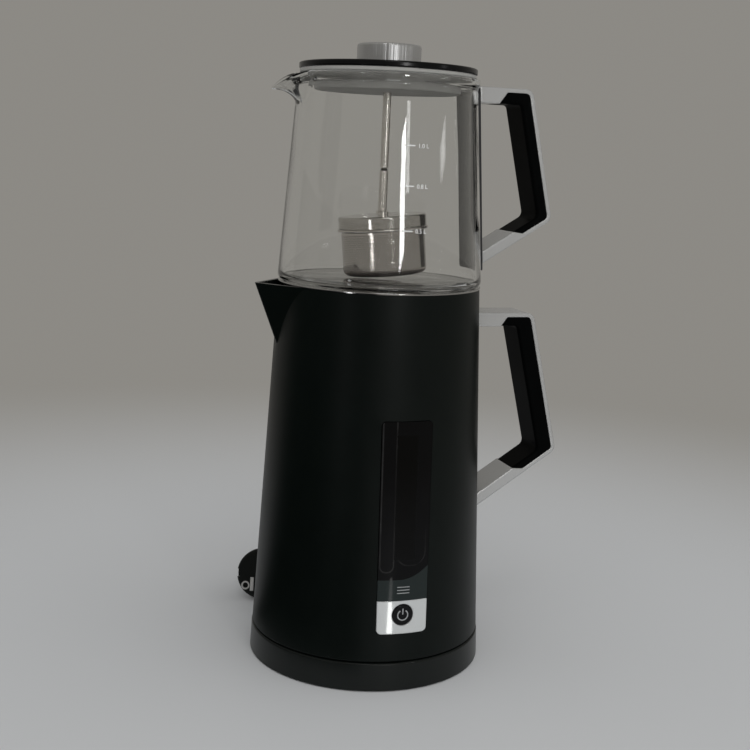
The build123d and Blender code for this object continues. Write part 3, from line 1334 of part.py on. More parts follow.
# ---- write every piece -----------------------------------------------------------------------
def pieces():
    """Every node's name and its solid or list of separate solids."""
    kettle_frame, kettle_grip = kettle_handle()
    pot_frame, pot_grip = pot_handle()
    return {
        "base_cover": base_cover(), "base_plate": base_plate(), "base_feet": base_feet(),
        "base_screws": base_screws(), "base_tower": base_tower(), "base_contacts": base_contacts(),
        "base_wires": base_wires(), "cord_relief": cord_relief(), "inner_lead": inner_lead(),
        "cord_clamp": cord_clamp(), "lead_in": cord_tube("lead_in", LEAD_IN),
        "cord_coil": cord_coil(), "lead_out": cord_tube("lead_out", LEAD_OUT), "cord_tie": cord_tie(),
        "plug_body": plug_body(), "plug_pins": plug_pins(), "plug_earth": plug_earth(),
        "kettle_socket": kettle_socket(), "kettle_shell": kettle_shell(), "rim_ring": rim_ring(),
        "steel_liner": steel_liner(), "liner_seal": liner_seal(), "gauge_tube": gauge_tube(),
        "gauge_seals": gauge_seals(), "heater_plate": heater_plate(), "heating_element": heating_element(),
        "kettle_base": kettle_base(), "kettle_base_screws": kettle_base_screws(),
        "thermostat": thermostat(), "thermostat_screws": thermostat_screws(),
        "kettle_wires": kettle_wires(), "control_board": control_board(), "board_screws": board_screws(),
        "tact_switch": tact_switch(), "status_lamp": status_lamp(), "front_panel": front_panel(),
        "button_plate": button_plate(), "spout_filter": spout_filter(),
        "kettle_handle_frame": kettle_frame, "kettle_handle_grip": kettle_grip,
        "kettle_handle_screws": kettle_handle_screws(), "power_button": power_button(),
        "glass_pot": glass_pot(), "handle_strap": handle_strap(), "pot_handle_frame": pot_frame,
        "pot_handle_grip": pot_grip, "pot_handle_screws": pot_handle_screws(),
        "lid_cover": lid_cover(), "lid_gasket": lid_gasket(), "lid_plug": lid_plug(),
        "lid_knob": lid_knob(), "lid_nut": lid_nut(), "upper_rod": upper_rod(), "lower_rod": lower_rod(),
        "basket_cap": basket_cap(), "cap_nut": cap_nut(), "basket": basket(),
    }


os.makedirs("parts", exist_ok=True)
for name, shape in pieces().items():
    solid = Compound(shape) if isinstance(shape, list) else shape
    export_step(solid, f"parts/{name}.step")
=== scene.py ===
# %% [markdown]
# # A two-tier tea maker
#
# The real thing is a black electric kettle on a round power base, with a glass teapot standing in
# the kettle's mouth. The solids come from the packed model, in metres, with +Z up, the handles at
# +X and the water window at -Y. They give every size and place. This script gives them their
# finishes. It also makes, with numpy, the few pieces whose look depends on more than a machined
# shape: the glass pot with its pouring lip, the lead and the printed marks.

# %% Load the frame
import bpy
import json
import math
import numpy as np
from mathutils import Matrix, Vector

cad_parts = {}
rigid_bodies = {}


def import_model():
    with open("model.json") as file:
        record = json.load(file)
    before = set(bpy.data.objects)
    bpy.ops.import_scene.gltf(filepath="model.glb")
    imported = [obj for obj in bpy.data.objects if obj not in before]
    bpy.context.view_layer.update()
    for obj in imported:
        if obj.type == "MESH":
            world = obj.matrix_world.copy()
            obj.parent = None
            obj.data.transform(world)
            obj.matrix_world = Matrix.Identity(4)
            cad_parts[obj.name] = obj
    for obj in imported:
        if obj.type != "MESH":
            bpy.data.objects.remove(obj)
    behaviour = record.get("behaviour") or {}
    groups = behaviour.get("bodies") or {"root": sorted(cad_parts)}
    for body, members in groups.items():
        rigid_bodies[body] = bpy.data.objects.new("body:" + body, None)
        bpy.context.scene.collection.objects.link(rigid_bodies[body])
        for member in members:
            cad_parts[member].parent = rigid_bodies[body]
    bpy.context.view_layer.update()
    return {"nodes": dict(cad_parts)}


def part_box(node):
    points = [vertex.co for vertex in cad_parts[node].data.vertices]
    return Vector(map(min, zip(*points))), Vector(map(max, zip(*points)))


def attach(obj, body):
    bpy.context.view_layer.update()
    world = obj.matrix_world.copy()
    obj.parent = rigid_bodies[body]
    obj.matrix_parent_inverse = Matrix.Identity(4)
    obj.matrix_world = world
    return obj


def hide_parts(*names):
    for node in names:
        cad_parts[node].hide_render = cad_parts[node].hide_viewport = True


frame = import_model()
nodes = frame["nodes"]

# %% [markdown]
# ## Camera
#
# A camera is a place, a direction and a lens. The direction is built here from three plain facts:
# the heading over the table, how far the lens points down, and how far the camera is rolled. The
# columns of a rotation matrix are the camera's right, up and backward directions, so the three
# vectors go straight into it.

# %% Place the camera
HEADING = math.radians(18.5)
PITCH = math.radians(10.47)
ROLL = math.radians(2.55)
CAMERA_AT = (-0.2598, -0.7766, 0.3455)
LENS_MM = 58.55

right = np.array([math.cos(HEADING), -math.sin(HEADING), 0.0])
level = np.array([math.sin(HEADING), math.cos(HEADING), 0.0])
ahead = level * math.cos(PITCH) - np.array([0, 0, math.sin(PITCH)])
up = np.cross(right, ahead)
cam_right = right * math.cos(ROLL) + up * math.sin(ROLL)
cam_up = up * math.cos(ROLL) - right * math.sin(ROLL)

camera = bpy.data.objects.new("camera", bpy.data.cameras.new("camera"))
bpy.context.scene.collection.objects.link(camera)
columns = np.column_stack([cam_right, cam_up, -ahead, CAMERA_AT])
camera.matrix_world = Matrix([*columns.tolist(), [0, 0, 0, 1]])
camera.data.lens = LENS_MM
bpy.context.scene.camera = camera
print("camera to axis", round(float(np.hypot(*CAMERA_AT[:2])), 3), "m")

# %% [markdown]
# ## The lead
#
# A mains lead is one flexible tube, so it is one curve. A NURBS curve of order 3 passes smoothly
# near its control points and never wiggles as an interpolating curve can, which is how a stiff
# lead lies. The spare length is bundled behind the maker. Its turns follow from a short list of
# stages: two lie beside each other on the table, and the next lies on top of them.
#
# A curve's thickness is its bevel depth times the radius of its points. Blender counts the radius
# into the box that it gives for a curve, as if it were metres. So here the radius carries the
# lead's real size and the depth is one, and the box is right.

# %% The lead's route
CORD_D = 0.007
LEAD_IN = [(0.0690, 0.0883, 0.0087), (0.0795, 0.1020, 0.0070), (0.0865, 0.1185, 0.0040),
           (0.0870, 0.1395, 0.0038), (0.0796, 0.1582, 0.0041)]
LEAD_OUT = [(0.0605, 0.1792, 0.0110), (0.0392, 0.1879, 0.0108), (0.0173, 0.1924, 0.0054),
            (-0.0026, 0.1895, 0.0038), (-0.0176, 0.1814, 0.0037), (-0.0272, 0.1700, 0.0038),
            (-0.0322, 0.1565, 0.0043)]
COIL_AT = (0.039, 0.143)


def coil_turns():
    """Points of the bundle: radius and height are read off a list of stages by angle.

    The stages, in degrees from +X: an outer turn on the table, a step in to an inner turn, a rise
    on to the top, and a last turn that widens by one diameter.
    """
    stages = [(36, 0.0427, 0.0041), (325, 0.0427, 0.0041), (375, 0.0348, 0.0041),
              (640, 0.0348, 0.0041), (692, 0.0350, 0.0111), (1126, 0.0436, 0.0111)]
    at, radius, height = np.array(stages).T
    degrees_apart = 15.0
    angle = np.arange(at[0], at[-1] + 1, degrees_apart)
    r = np.interp(angle, at, radius)
    z = np.interp(angle, at, height)
    a = np.radians(angle)
    return np.column_stack([COIL_AT[0] + r * np.cos(a), COIL_AT[1] + r * np.sin(a), z])


route = np.vstack([LEAD_IN, coil_turns(), LEAD_OUT])
print("lead route:", len(route), "points")


# %% The lead's curve
def tube_curve(name, points, diameter):
    """Bevelled NURBS curve through the neighbourhood of its control points."""
    data = bpy.data.curves.new(name, "CURVE")
    data.dimensions = "3D"
    data.resolution_u = 6
    data.bevel_depth = 1.0
    data.bevel_resolution = 5
    spline = data.splines.new("NURBS")
    spline.points.add(len(points) - 1)
    spline.points.foreach_set("co", np.column_stack([points, np.ones(len(points))]).ravel())
    spline.points.foreach_set("radius", np.full(len(points), diameter / 2))
    spline.order_u = 3
    spline.use_endpoint_u = True
    obj = bpy.data.objects.new(name, data)
    bpy.context.scene.collection.objects.link(obj)
    return obj


lead = tube_curve("lead", route, CORD_D)
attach(lead, "power_base")
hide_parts("lead_in", "cord_coil", "lead_out")
print("lead:", len(lead.data.splines[0].points), "control points,", CORD_D * 1000, "mm thick")

# %% [markdown]
# ## Surfaces from grids
#
# Every new piece is a grid of points: one parameter runs along its rows and one along its columns.
# Numpy works out all points at once, and the faces are the same small pattern of corner numbers
# shifted over the grid.


# %% Grid helpers
def grid_faces(rows, cols, wrap_rows=False, wrap_cols=False):
    """Corner numbers of the quads of a rows x cols grid, closed round either way if asked."""
    i = np.arange(rows if wrap_rows else rows - 1)
    j = np.arange(cols if wrap_cols else cols - 1)
    i, j = np.meshgrid(i, j, indexing="ij")
    i1, j1 = (i + 1) % rows, (j + 1) % cols
    corners = [i * cols + j, i * cols + j1, i1 * cols + j1, i1 * cols + j]
    return np.stack(corners, axis=-1).reshape(-1, 4)


def mesh_object(name, points, faces, smooth=True):
    """Mesh from an array of points and a list of faces."""
    mesh = bpy.data.meshes.new(name)
    corners = [[int(corner) for corner in face] for face in faces]
    mesh.from_pydata(np.asarray(points).reshape(-1, 3).tolist(), [], corners)
    mesh.validate()
    mesh.polygons.foreach_set("use_smooth", np.full(len(mesh.polygons), smooth))
    obj = bpy.data.objects.new(name, mesh)
    bpy.context.scene.collection.objects.link(obj)
    return obj


print("a grid of 3 x 4 points has", len(grid_faces(3, 4)), "quads")

# %% [markdown]
# ## Rounded profiles
#
# A blown or turned shape is a profile carried round an axis. The profile is written as a few
# corners, each with the length that its rounding takes from both sides. A Bevel modifier could
# round the finished mesh, but it would treat all edges alike. Here every corner gets an arc of its
# own, and the straight runs are divided, so that there are points to move where the lip is drawn
# out.


# %% Profile helper
def smooth_profile(corners, step):
    """Rounds a polyline of (radius, height, rounding) corners and divides its long runs.

    A corner b is replaced by the quadratic arc (1-t)^2 start + 2t(1-t) b + t^2 end, between the two
    points where its rounding begins and ends. No gap is then longer than the step.
    """
    p = np.array(corners, float)[:, :2]
    side_share = 0.48  # of a side, the most that a rounding takes
    t = np.linspace(0, 1, 9)[:, None]
    out = [p[0]]
    for a, b, c, (_, _, rounding) in zip(p, p[1:], p[2:], corners[1:]):
        ab, cb = a - b, c - b
        cut = min(rounding, side_share * np.linalg.norm(ab), side_share * np.linalg.norm(cb))
        start, end = b + ab / np.linalg.norm(ab) * cut, b + cb / np.linalg.norm(cb) * cut
        out.extend((1 - t) ** 2 * start + 2 * t * (1 - t) * b + t**2 * end)
    out.append(p[-1])
    dense = [out[0]]
    for a, b in zip(out, out[1:]):
        n = max(1, int(np.ceil(np.linalg.norm(b - a) / step)))
        dense.extend(a + (b - a) * np.linspace(0, 1, n + 1)[1:, None])
    return np.array(dense)


square_corner = smooth_profile([(0, 1, 0), (1, 1, 0.4), (1, 0, 0)], step=1)
print("a rounded square corner has", len(square_corner), "points")

# %% [markdown]
# ## The glass teapot
#
# The pot is blown borosilicate glass: a tapering wall, a foot that drops into the kettle's rim, a
# thicker rim and a small pouring lip. Light bends at both faces of the wall, so the piece is one
# closed skin. Its profile runs from the middle of the foot up the outside, over the rim and down
# the inside to the middle of the floor.

# %% Sizes of the pot
POT_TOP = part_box("glass_pot")[1].z  # read from the solid, and all heights hang from it
SEAT = POT_TOP - 0.1339  # where the wall stands on the kettle's rim
FOOT_BOTTOM = SEAT - 0.0027
FOOT_HOLLOW = SEAT - 0.0011
FLOOR = SEAT + 0.0019
SHOULDER = POT_TOP - 0.0059  # where the taper ends
NECK = SHOULDER + 0.0024
FOOT_R = 0.0596
HOLLOW_R = 0.0516
WALL_R0, WALL_R1 = 0.0685, 0.0591  # outside, at the seat and at the shoulder
INNER_R0, INNER_R1 = 0.0659, 0.0566
BEAD_R, MOUTH_R = 0.0604, 0.0556
print("pot top", round(POT_TOP, 4), "seat", round(SEAT, 4))

# %% The pot's profile
POT_CORNERS = [  # radius, height, rounding: up the outside, over the rim and down the inside
    (0, FOOT_HOLLOW, 0),
    (HOLLOW_R, FOOT_HOLLOW, 0.0006),
    (HOLLOW_R + 0.0015, FOOT_BOTTOM, 0.0006),
    (FOOT_R, FOOT_BOTTOM, 0.0008),
    (FOOT_R, SEAT, 0.0002),
    (WALL_R0, SEAT, 0.0052),
    (WALL_R1, SHOULDER, 0.002),
    (BEAD_R, NECK, 0.0014),
    (BEAD_R, POT_TOP, 0.0021),
    (MOUTH_R, POT_TOP, 0.0016),
    (MOUTH_R, NECK, 0.0015),
    (INNER_R1, SHOULDER, 0.002),
    (INNER_R0, FLOOR, 0.0042),
    (0, FLOOR, 0),
]
pot_profile = smooth_profile(POT_CORNERS, step=0.0022)
print("pot profile:", len(pot_profile), "points")

# %% [markdown]
# ## The pouring lip
#
# A glassblower draws the lip out of the hot rim, so the wall runs on into it without a seam. A lip
# made as a piece of its own would have to be joined on, and glass shows every joint. So the points
# near the rim at -X are moved instead, by the same amount inside and out, which keeps the wall's
# thickness.

# %% The lip's pull
LIP_REACH = 0.0186  # how far the tip is drawn out
LIP_SINK = 0.0122  # how far the tip drops
LIP_HALF = 0.0160  # about half the lip's width
LIP_DEPTH = 0.0204  # how far down the wall the lip starts


def pull_lip(points):
    """Draws the rim out to a beak at -X.

    With u = y / half, the pull across is a V with a rounded point, 1.17 - sqrt(u^2 + 0.06), scaled
    to 1 in the middle. It rises from an ellipse below, at depth x sqrt(1.2 - u^2), to the rim.
    Powers a little above 1 let both run out without a crease. The tip also sinks, so that the top
    edge slopes down to it.
    """
    u, z = points[..., 1] / LIP_HALF, points[..., 2]
    across = (np.clip(1.17 - np.sqrt(u**2 + 0.06), 0, 1) / 0.925) ** 1.3
    start = POT_TOP - LIP_DEPTH * np.sqrt(np.clip(1.2 - u**2, 0, 1))
    rise = np.clip((z - start) / np.maximum(POT_TOP - start, 1e-5), 0, 1) ** 1.15
    pull = across * rise * (points[..., 0] < -MOUTH_R / 2)
    moved = points.copy()
    moved[..., 0] -= LIP_REACH * pull
    moved[..., 2] -= LIP_SINK * pull**1.6
    return moved


tip = pull_lip(np.array([[-BEAD_R, 0.0, POT_TOP]]))[0]
print("lip's tip at x", round(tip[0], 4), "z", round(tip[2], 4))

# %% [markdown]
# The skin is the profile carried once round, with the two ends on the axis closed by fans of
# triangles. The columns crowd a little towards the lip: a share of sin(2 pi t) is taken from each
# column's place t, which makes the steps smallest where t is 0, at -X.

# %% The pot's closed skin
profile = pot_profile[1:-1]
turns = 224
crowding = 0.07
fine = np.linspace(0, 1, turns, endpoint=False)
angle = np.pi + 2 * np.pi * (fine - crowding * np.sin(2 * np.pi * fine))
skin = np.stack([profile[:, None, 0] * np.cos(angle), profile[:, None, 0] * np.sin(angle),
                 np.broadcast_to(profile[:, None, 1], (len(profile), turns))], axis=-1)
skin = pull_lip(skin)
faces = grid_faces(len(profile), turns, wrap_cols=True).tolist()
last = len(profile) * turns
faces += [[j, last, (j + 1) % turns] for j in range(turns)]
base = last - turns
faces += [[base + (j + 1) % turns, last + 1, base + j] for j in range(turns)]
poles = [(0, 0, FOOT_HOLLOW), (0, 0, FLOOR)]
glass_body = mesh_object("glass_body", np.vstack([skin.reshape(-1, 3), poles]), faces)
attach(glass_body, "teapot")
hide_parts("glass_pot")
print("glass body:", len(faces), "faces")

# %% [markdown]
# ## Printed marks
#
# The litre marks on the glass, the three bars over the lamp and the sign on the button are
# printed on the real thing. A print could be drawn in the material, but a baked picture blurs it,
# so each mark is a very thin piece of its own. It is drawn flat, as (across, up) in metres. Strokes
# are ribbons along a path, and letters are a text turned into a mesh.


# %% Flat shapes for the marks
def ribbon(path, width):
    """Flat band of a given width along a path: each point is moved half the width to both sides."""
    path = np.asarray(path, float)
    along = np.gradient(path, axis=0)
    along /= np.linalg.norm(along, axis=1, keepdims=True)
    aside = np.column_stack([-along[:, 1], along[:, 0]]) * width / 2
    points = np.stack([path + aside, path - aside], axis=1).reshape(-1, 2)
    return points, grid_faces(len(path), 2).tolist()


def lettering(text, size):
    """The flat mesh of a short text: its points as (across, up), and its faces."""
    curve = bpy.data.curves.new("letters", "FONT")
    curve.body = text
    curve.size = size
    obj = bpy.data.objects.new("letters", curve)
    bpy.context.scene.collection.objects.link(obj)
    bpy.context.view_layer.update()
    mesh = bpy.data.meshes.new_from_object(obj)
    points = np.empty(len(mesh.vertices) * 3)
    mesh.vertices.foreach_get("co", points)
    faces = [list(p.vertices) for p in mesh.polygons]
    bpy.data.objects.remove(obj)
    bpy.data.curves.remove(curve)
    bpy.data.meshes.remove(mesh)
    return points.reshape(-1, 3)[:, :2], faces


def together(shapes):
    """Joins flat shapes, given as (points, faces, (across, up) of their place), into one."""
    points, faces, count = [], [], 0
    for shape_points, shape_faces, at in shapes:
        points.append(shape_points + np.array(at))
        faces += [[corner + count for corner in face] for face in shape_faces]
        count += len(shape_points)
    return np.vstack(points), faces


print("a ribbon along 5 points has", len(ribbon([(x, 0) for x in range(5)], 1)[1]), "quads")

# %% [markdown]
# A flat mark is then wrapped round the cone that it is printed on: the distance across becomes an
# angle, and the height picks the cone's radius. Solidify gives it the thickness of the ink. The
# kettle's panel and the glass both taper, so each has its own rule for the radius.

# %% Wrapping helpers
INK = 0.00006
PANEL_PROUD = 0.0004
SHELL_R0, SHELL_R1 = 0.0788, 0.06755  # the shell's radius at its foot and at its mouth
shell_low, shell_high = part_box("kettle_shell")


def wrapped(points, radius_at, bearing):
    """Puts flat points on a cone: bearing grows by across / radius, and height stays height."""
    across, up = points[:, 0], points[:, 1]
    r = radius_at(up)
    a = math.radians(bearing) + across / r
    return np.column_stack([r * np.sin(a), -r * np.cos(a), up])


def ink_piece(name, points, faces, body):
    """Thin printed piece on a moving body."""
    obj = mesh_object(name, points, faces, smooth=False)
    thick = obj.modifiers.new("ink", "SOLIDIFY")
    thick.thickness = INK
    thick.offset = 1.0
    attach(obj, body)
    return obj


def glass_radius(z):
    """Outside of the glass wall: a straight taper from the seat to the shoulder."""
    return WALL_R0 + (WALL_R1 - WALL_R0) * (z - SEAT) / (SHOULDER - SEAT)


def panel_radius(z):
    """Face of the front panel: the shell's taper, a little proud of it."""
    share = (z - shell_low.z) / (shell_high.z - shell_low.z)
    return SHELL_R0 + (SHELL_R1 - SHELL_R0) * share + PANEL_PROUD


print("panel radius at the bars:", round(panel_radius(0.068), 4), "m")

# %% [markdown]
# Each litre mark is a short line with its number beside it. The bars over the lamp are three equal
# strokes, one above the other, with nine points each so that they bend with the panel.

# %% The litre marks and the bars
LITRES = {"1.0 L": 0.3488, "0.8 L": 0.3242, "0.5 L": 0.2968}
MARKS_BEARING = -7.6
LETTER_SIZE = 0.0037
LETTERS_AT = (0.0088, -0.0013)
TICK_LENGTH, TICK_WIDTH = 0.007, 0.0007
BAR_HEIGHTS = (0.0660, 0.0680, 0.0700)
BAR_HALF, BAR_WIDTH = 0.0042, 0.00055

tick = ribbon([(0, 0), (TICK_LENGTH / 2, 0), (TICK_LENGTH, 0)], TICK_WIDTH)
marks = []
for text, height in LITRES.items():
    marks.append((*tick, (0, height)))
    marks.append((*lettering(text, LETTER_SIZE), (LETTERS_AT[0], height + LETTERS_AT[1])))
flat, flat_faces = together(marks)
on_glass = wrapped(flat, glass_radius, MARKS_BEARING)
litre_marks = ink_piece("litre_marks", on_glass, flat_faces, "teapot")

bar = ribbon([(x, 0) for x in np.linspace(-BAR_HALF, BAR_HALF, 9)], BAR_WIDTH)
flat, flat_faces = together([(*bar, (0, z)) for z in BAR_HEIGHTS])
on_panel = wrapped(flat, panel_radius, 0.0)
lamp_bars = ink_piece("lamp_bars", on_panel, flat_faces, "kettle")
print("marks:", len(litre_marks.data.polygons), "and", len(lamp_bars.data.polygons), "faces")

# %% [markdown]
# The sign on the button is a broken ring with a stroke in its gap. The button's face is flat, so
# the sign needs no wrapping: across becomes X, up becomes Z, and Y is the face that the button's
# own box gives. It rides on the button's body and moves in with it when the button is pressed.

# %% The sign on the button
BUTTON_Z = 0.0515
SIGN_R = 0.0034
SIGN_LINE = 0.0008
HALF_GAP = 32  # degrees to each side of the top

face_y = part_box("power_button")[0].y
turn = np.radians(np.linspace(90 + HALF_GAP, 450 - HALF_GAP, 61))
ring = ribbon(SIGN_R * np.column_stack([np.cos(turn), np.sin(turn)]), SIGN_LINE)
stroke = ribbon([(0, 0.0004), (0, 0.0044)], SIGN_LINE)
flat, flat_faces = together([(*ring, (0, BUTTON_Z)), (*stroke, (0, BUTTON_Z))])
sign_points = np.column_stack([flat[:, 0], np.full(len(flat), face_y), flat[:, 1]])
power_sign = ink_piece("power_sign", sign_points, flat_faces, "button")
print("button face at y =", round(face_y, 4), "m")

# %% [markdown]
# ## Finishes
#
# A finish is a Principled shader with the small unevenness that the real surface has: moulded
# plastic has a fine grain, paint a faint orange peel, and steel long brush lines. Every node could
# be added by itself, but the same few steps come back in every finish, so two small classes hold
# them. The first works on any tree of nodes, the world's too.


# %% Node helpers
class Nodes:
    """Short ways to add nodes and links to one tree."""

    def __init__(self, tree):
        self.tree = tree

    def feed(self, socket, value):
        """Links an output to a socket, or sets the socket to a number or vector."""
        if hasattr(value, "is_linked"):
            self.tree.links.new(value, socket)
        else:
            socket.default_value = value

    def node(self, kind, **settings):
        """Adds a node; a setting is a socket's value or link, or else one of its choices."""
        made = self.tree.nodes.new("ShaderNode" + kind)
        for key, value in settings.items():
            if key in made.inputs:
                self.feed(made.inputs[key], value)
            else:
                setattr(made, key, value)
        return made

    def math(self, operation, a, b=0.0):
        """One sum on numbers or outputs."""
        made = self.node("Math", operation=operation)
        self.feed(made.inputs[0], a)
        self.feed(made.inputs[1], b)
        return made.outputs[0]

    def vector_math(self, operation, a):
        """One sum on a vector; gives the whole node, as the result may be a number or a vector."""
        made = self.node("VectorMath", operation=operation)
        self.feed(made.inputs[0], a)
        return made

    def ramp(self, value, low, high, start=0.0, stop=1.0, kind="LINEAR"):
        """The value's stretch from start to stop, carried to low..high."""
        made = self.node("MapRange", Value=value, interpolation_type=kind)
        limits = {"From Min": start, "From Max": stop, "To Min": low, "To Max": high}
        for socket, number in limits.items():
            made.inputs[socket].default_value = number
        return made.outputs["Result"]

    def mix(self, factor, a, b):
        """Blends two colours, each a tuple or an output."""
        made = self.node("Mix", data_type="RGBA")
        for socket, value in zip((0, 6, 7), (factor, a, b)):
            self.feed(made.inputs[socket], (*value, 1) if isinstance(value, tuple) else value)
        return made.outputs[2]


print("node helpers:", [name for name in vars(Nodes) if not name.startswith("_")])

# %% [markdown]
# The second class is a material. Its patterns read Object coordinates, which are metres in the
# model's own frame, so a grain keeps its real size on every piece. Bumps are laid over each other,
# and a Bevel node can stand under them where an edge is softly rounded.


# %% A finish
class Finish(Nodes):
    """A material with its Principled shader, and patterns in metres."""

    def __init__(self, name, color, rough, metallic=0.0, specular=0.5):
        self.material = bpy.data.materials.new(name)
        self.material.use_nodes = True
        super().__init__(self.material.node_tree)
        self.shader = self.tree.nodes["Principled BSDF"]
        self.shader.inputs["Base Color"].default_value = (*color, 1)
        self.shader.inputs["Roughness"].default_value = rough
        self.shader.inputs["Metallic"].default_value = metallic
        self.shader.inputs["Specular IOR Level"].default_value = specular
        self.place = self.node("TexCoord").outputs["Object"]

    def set(self, name, value):
        """Feeds a socket of the shader by its name."""
        self.feed(self.shader.inputs[name], value)

    def axes(self, vector=None):
        """The x, y and z of a vector, or of the point itself."""
        made = self.node("SeparateXYZ", Vector=self.place if vector is None else vector)
        return [made.outputs[axis] for axis in "XYZ"]

    def noise(self, scale, detail=3.0, stretch=(1, 1, 1)):
        """Noise on Object coordinates, squeezed along the axes that stretch names."""
        squeezed = self.node("Mapping", Vector=self.place, Scale=stretch).outputs["Vector"]
        return self.node("TexNoise", Vector=squeezed, Scale=scale, Detail=detail).outputs["Fac"]

    def bump(self, height, depth):
        """A bump whose distance is in metres; a second call is laid over the first."""
        made = self.node("Bump", Height=height, Distance=depth)
        before = self.shader.inputs["Normal"]
        if before.is_linked:
            self.feed(made.inputs["Normal"], before.links[0].from_socket)
        self.set("Normal", made.outputs["Normal"])

    def soft_edges(self, radius):
        """Lets the shading of sharp edges turn over a radius in metres, as paint rounds them."""
        self.set("Normal", self.node("Bevel", samples=6, Radius=radius).outputs["Normal"])

    def replace_surface(self, factor, other):
        """Blends the shader with another one, which alone is seen where the factor is 1."""
        blend = self.node("MixShader", Fac=factor)
        self.feed(blend.inputs[1], self.shader.outputs["BSDF"])
        self.feed(blend.inputs[2], other.outputs[0])
        self.feed(self.tree.nodes["Material Output"].inputs["Surface"], blend.outputs["Shader"])


def shade(color, share):
    """The same colour, darker or lighter: every part times the share."""
    return tuple(c * share for c in color)


print("finish helpers:", [name for name in vars(Finish) if not name.startswith("_")])

# %% [markdown]
# ## Black plastics
#
# A black part is hardly lit by its own colour. What shows is what it mirrors, so the finish is
# mostly roughness: high on the satin shell, which smears the lamps into soft bands, and low on the
# lid and the panel. A fine grain breaks the smear a little, as the real spray finish does.


# %% Plastics and rubbers
def moulded(name, color, rough, grain=900.0, depth=0.00003, spread=0.05, specular=0.5, edge=0.0):
    """Moulded plastic.

    A fine grain is the bump, and a coarse noise moves the roughness up and down by the spread. A
    second one lightens the colour by up to a quarter. An edge is the radius of softened corners.
    """
    f = Finish(name, color, rough, specular=specular)
    if edge:
        f.soft_edges(edge)
    f.set("Roughness", f.ramp(f.noise(35.0), rough - spread, rough + spread))
    lighter = tuple(min(1.0, c * 1.25 + 0.001) for c in color)
    f.set("Base Color", f.mix(f.noise(60.0), color, lighter))
    f.bump(f.noise(grain), depth)
    return f


base_black = moulded("base_black", (0.0030, 0.0044, 0.0037), 0.30, grain=1500.0, depth=0.000008,
                     spread=0.03, specular=0.28, edge=0.0008)
inner_black = moulded("inner_black", (0.010, 0.010, 0.011), 0.5)
grip_black = moulded("grip_black", (0.0008, 0.0010, 0.0010), 0.46, grain=2300.0, depth=0.000012,
                     spread=0.04, specular=0.02, edge=0.0009)
strap_grey = moulded("strap_grey", (0.020, 0.020, 0.0215), 0.36, grain=1800.0, depth=0.00001,
                     specular=0.35)
foot_rubber = moulded("foot_rubber", (0.014, 0.014, 0.014), 0.75, grain=1800.0)
sheath_black = moulded("sheath_black", (0.008, 0.008, 0.009), 0.5, grain=2600.0)
wire_red = moulded("wire_red", (0.35, 0.02, 0.02), 0.5)
board_green = moulded("board_green", (0.01, 0.09, 0.035), 0.35, grain=500.0)
print("materials so far:", len(bpy.data.materials))

# %% [markdown]
# The kettle's shell is sprayed satin, but the last fraction of a millimetre at its mouth stays bare
# and smooth and draws a thin light line there. The shell's own box gives the mouth's height, so a
# ramp on Z finds the bare edge and lowers the roughness on it to a share of the satin's.

# %% The shell's satin black
BARE_FROM, BARE_FULLY = shell_high.z - 0.0004, shell_high.z - 0.0002
BARE_SHARE = 0.3

shell_black = moulded("shell_black", (0.0010, 0.0026, 0.0019), 0.39, grain=1500.0,
                      depth=0.000007, spread=0.03, specular=0.16)
satin = shell_black.shader.inputs["Roughness"].links[0].from_socket
bare = shell_black.ramp(shell_black.axes()[2], 1.0, BARE_SHARE, BARE_FROM, BARE_FULLY)
shell_black.set("Roughness", shell_black.math("MULTIPLY", satin, bare))
print("bare edge from z =", round(BARE_FROM, 4), "m")

# %% [markdown]
# The lid's disc and the button are moulded glossy and then handled, so they are smooth with faint
# smears. A coarse noise moves the roughness a little up and down, and a second, very shallow one in
# the bump lets a reflection waver as it does in moulded plastic.

# %% Glossy black
gloss_black = Finish("gloss_black", (0.0016, 0.0018, 0.0020), 0.2, specular=0.22)
gloss_black.set("Roughness", gloss_black.ramp(gloss_black.noise(80.0), 0.16, 0.24))
gloss_black.bump(gloss_black.noise(90.0, 2.0), 0.00002)
print("nodes in the glossy black:", len(gloss_black.tree.nodes))

# %% [markdown]
# ## The window panel
#
# The panel is one moulding of glossy, smoked plastic. It is black where its back is printed, and
# lets a little light through over the water gauge. A curve parts the dark window from a slate area
# round the three bars. All three regions follow from where a point lies on the panel, so the shader
# reads them from the Object coordinates and the panel needs no extra geometry. The glints along the
# edges of two tubes behind the window are painted on it as faint light outlines: a painted
# highlight.

# %% The outline of a tube
TUBE_LINE = 0.0006


def outline_of_tube(f, x, z, low, high, radius):
    """1 along the outline of a rounded rectangle given by its (x, z) corners, else 0.

    The distance to the outline is the length of the part of (|x|, |z|) that lies beyond the inner
    corner, less the radius.
    """
    beyond = []
    for place, start, end in ((x, low[0], high[0]), (z, low[1], high[1])):
        from_middle = f.math("ABSOLUTE", f.math("SUBTRACT", place, (start + end) / 2))
        out = f.math("SUBTRACT", from_middle, (end - start) / 2 - radius)
        beyond.append(f.math("MAXIMUM", out, 0.0))
    corner = f.node("CombineXYZ", X=beyond[0], Y=beyond[1]).outputs["Vector"]
    length = f.vector_math("LENGTH", corner).outputs["Value"]
    off = f.math("ABSOLUTE", f.math("SUBTRACT", length, radius))
    return f.ramp(off, 1.0, 0.0, TUBE_LINE * 0.3, TUBE_LINE)


print("a tube's outline is", TUBE_LINE * 1000, "mm wide to each side")


# %% The panel's finish
def climbing_line(f, x):
    """Height of the slate's upper edge: 0.0748 plus 21 times the square of x beyond -0.003."""
    climb = f.math("MAXIMUM", f.math("ADD", x, 0.003), 0.0)
    return f.math("ADD", 0.0748, f.math("MULTIPLY", f.math("MULTIPLY", climb, climb), 21.0))


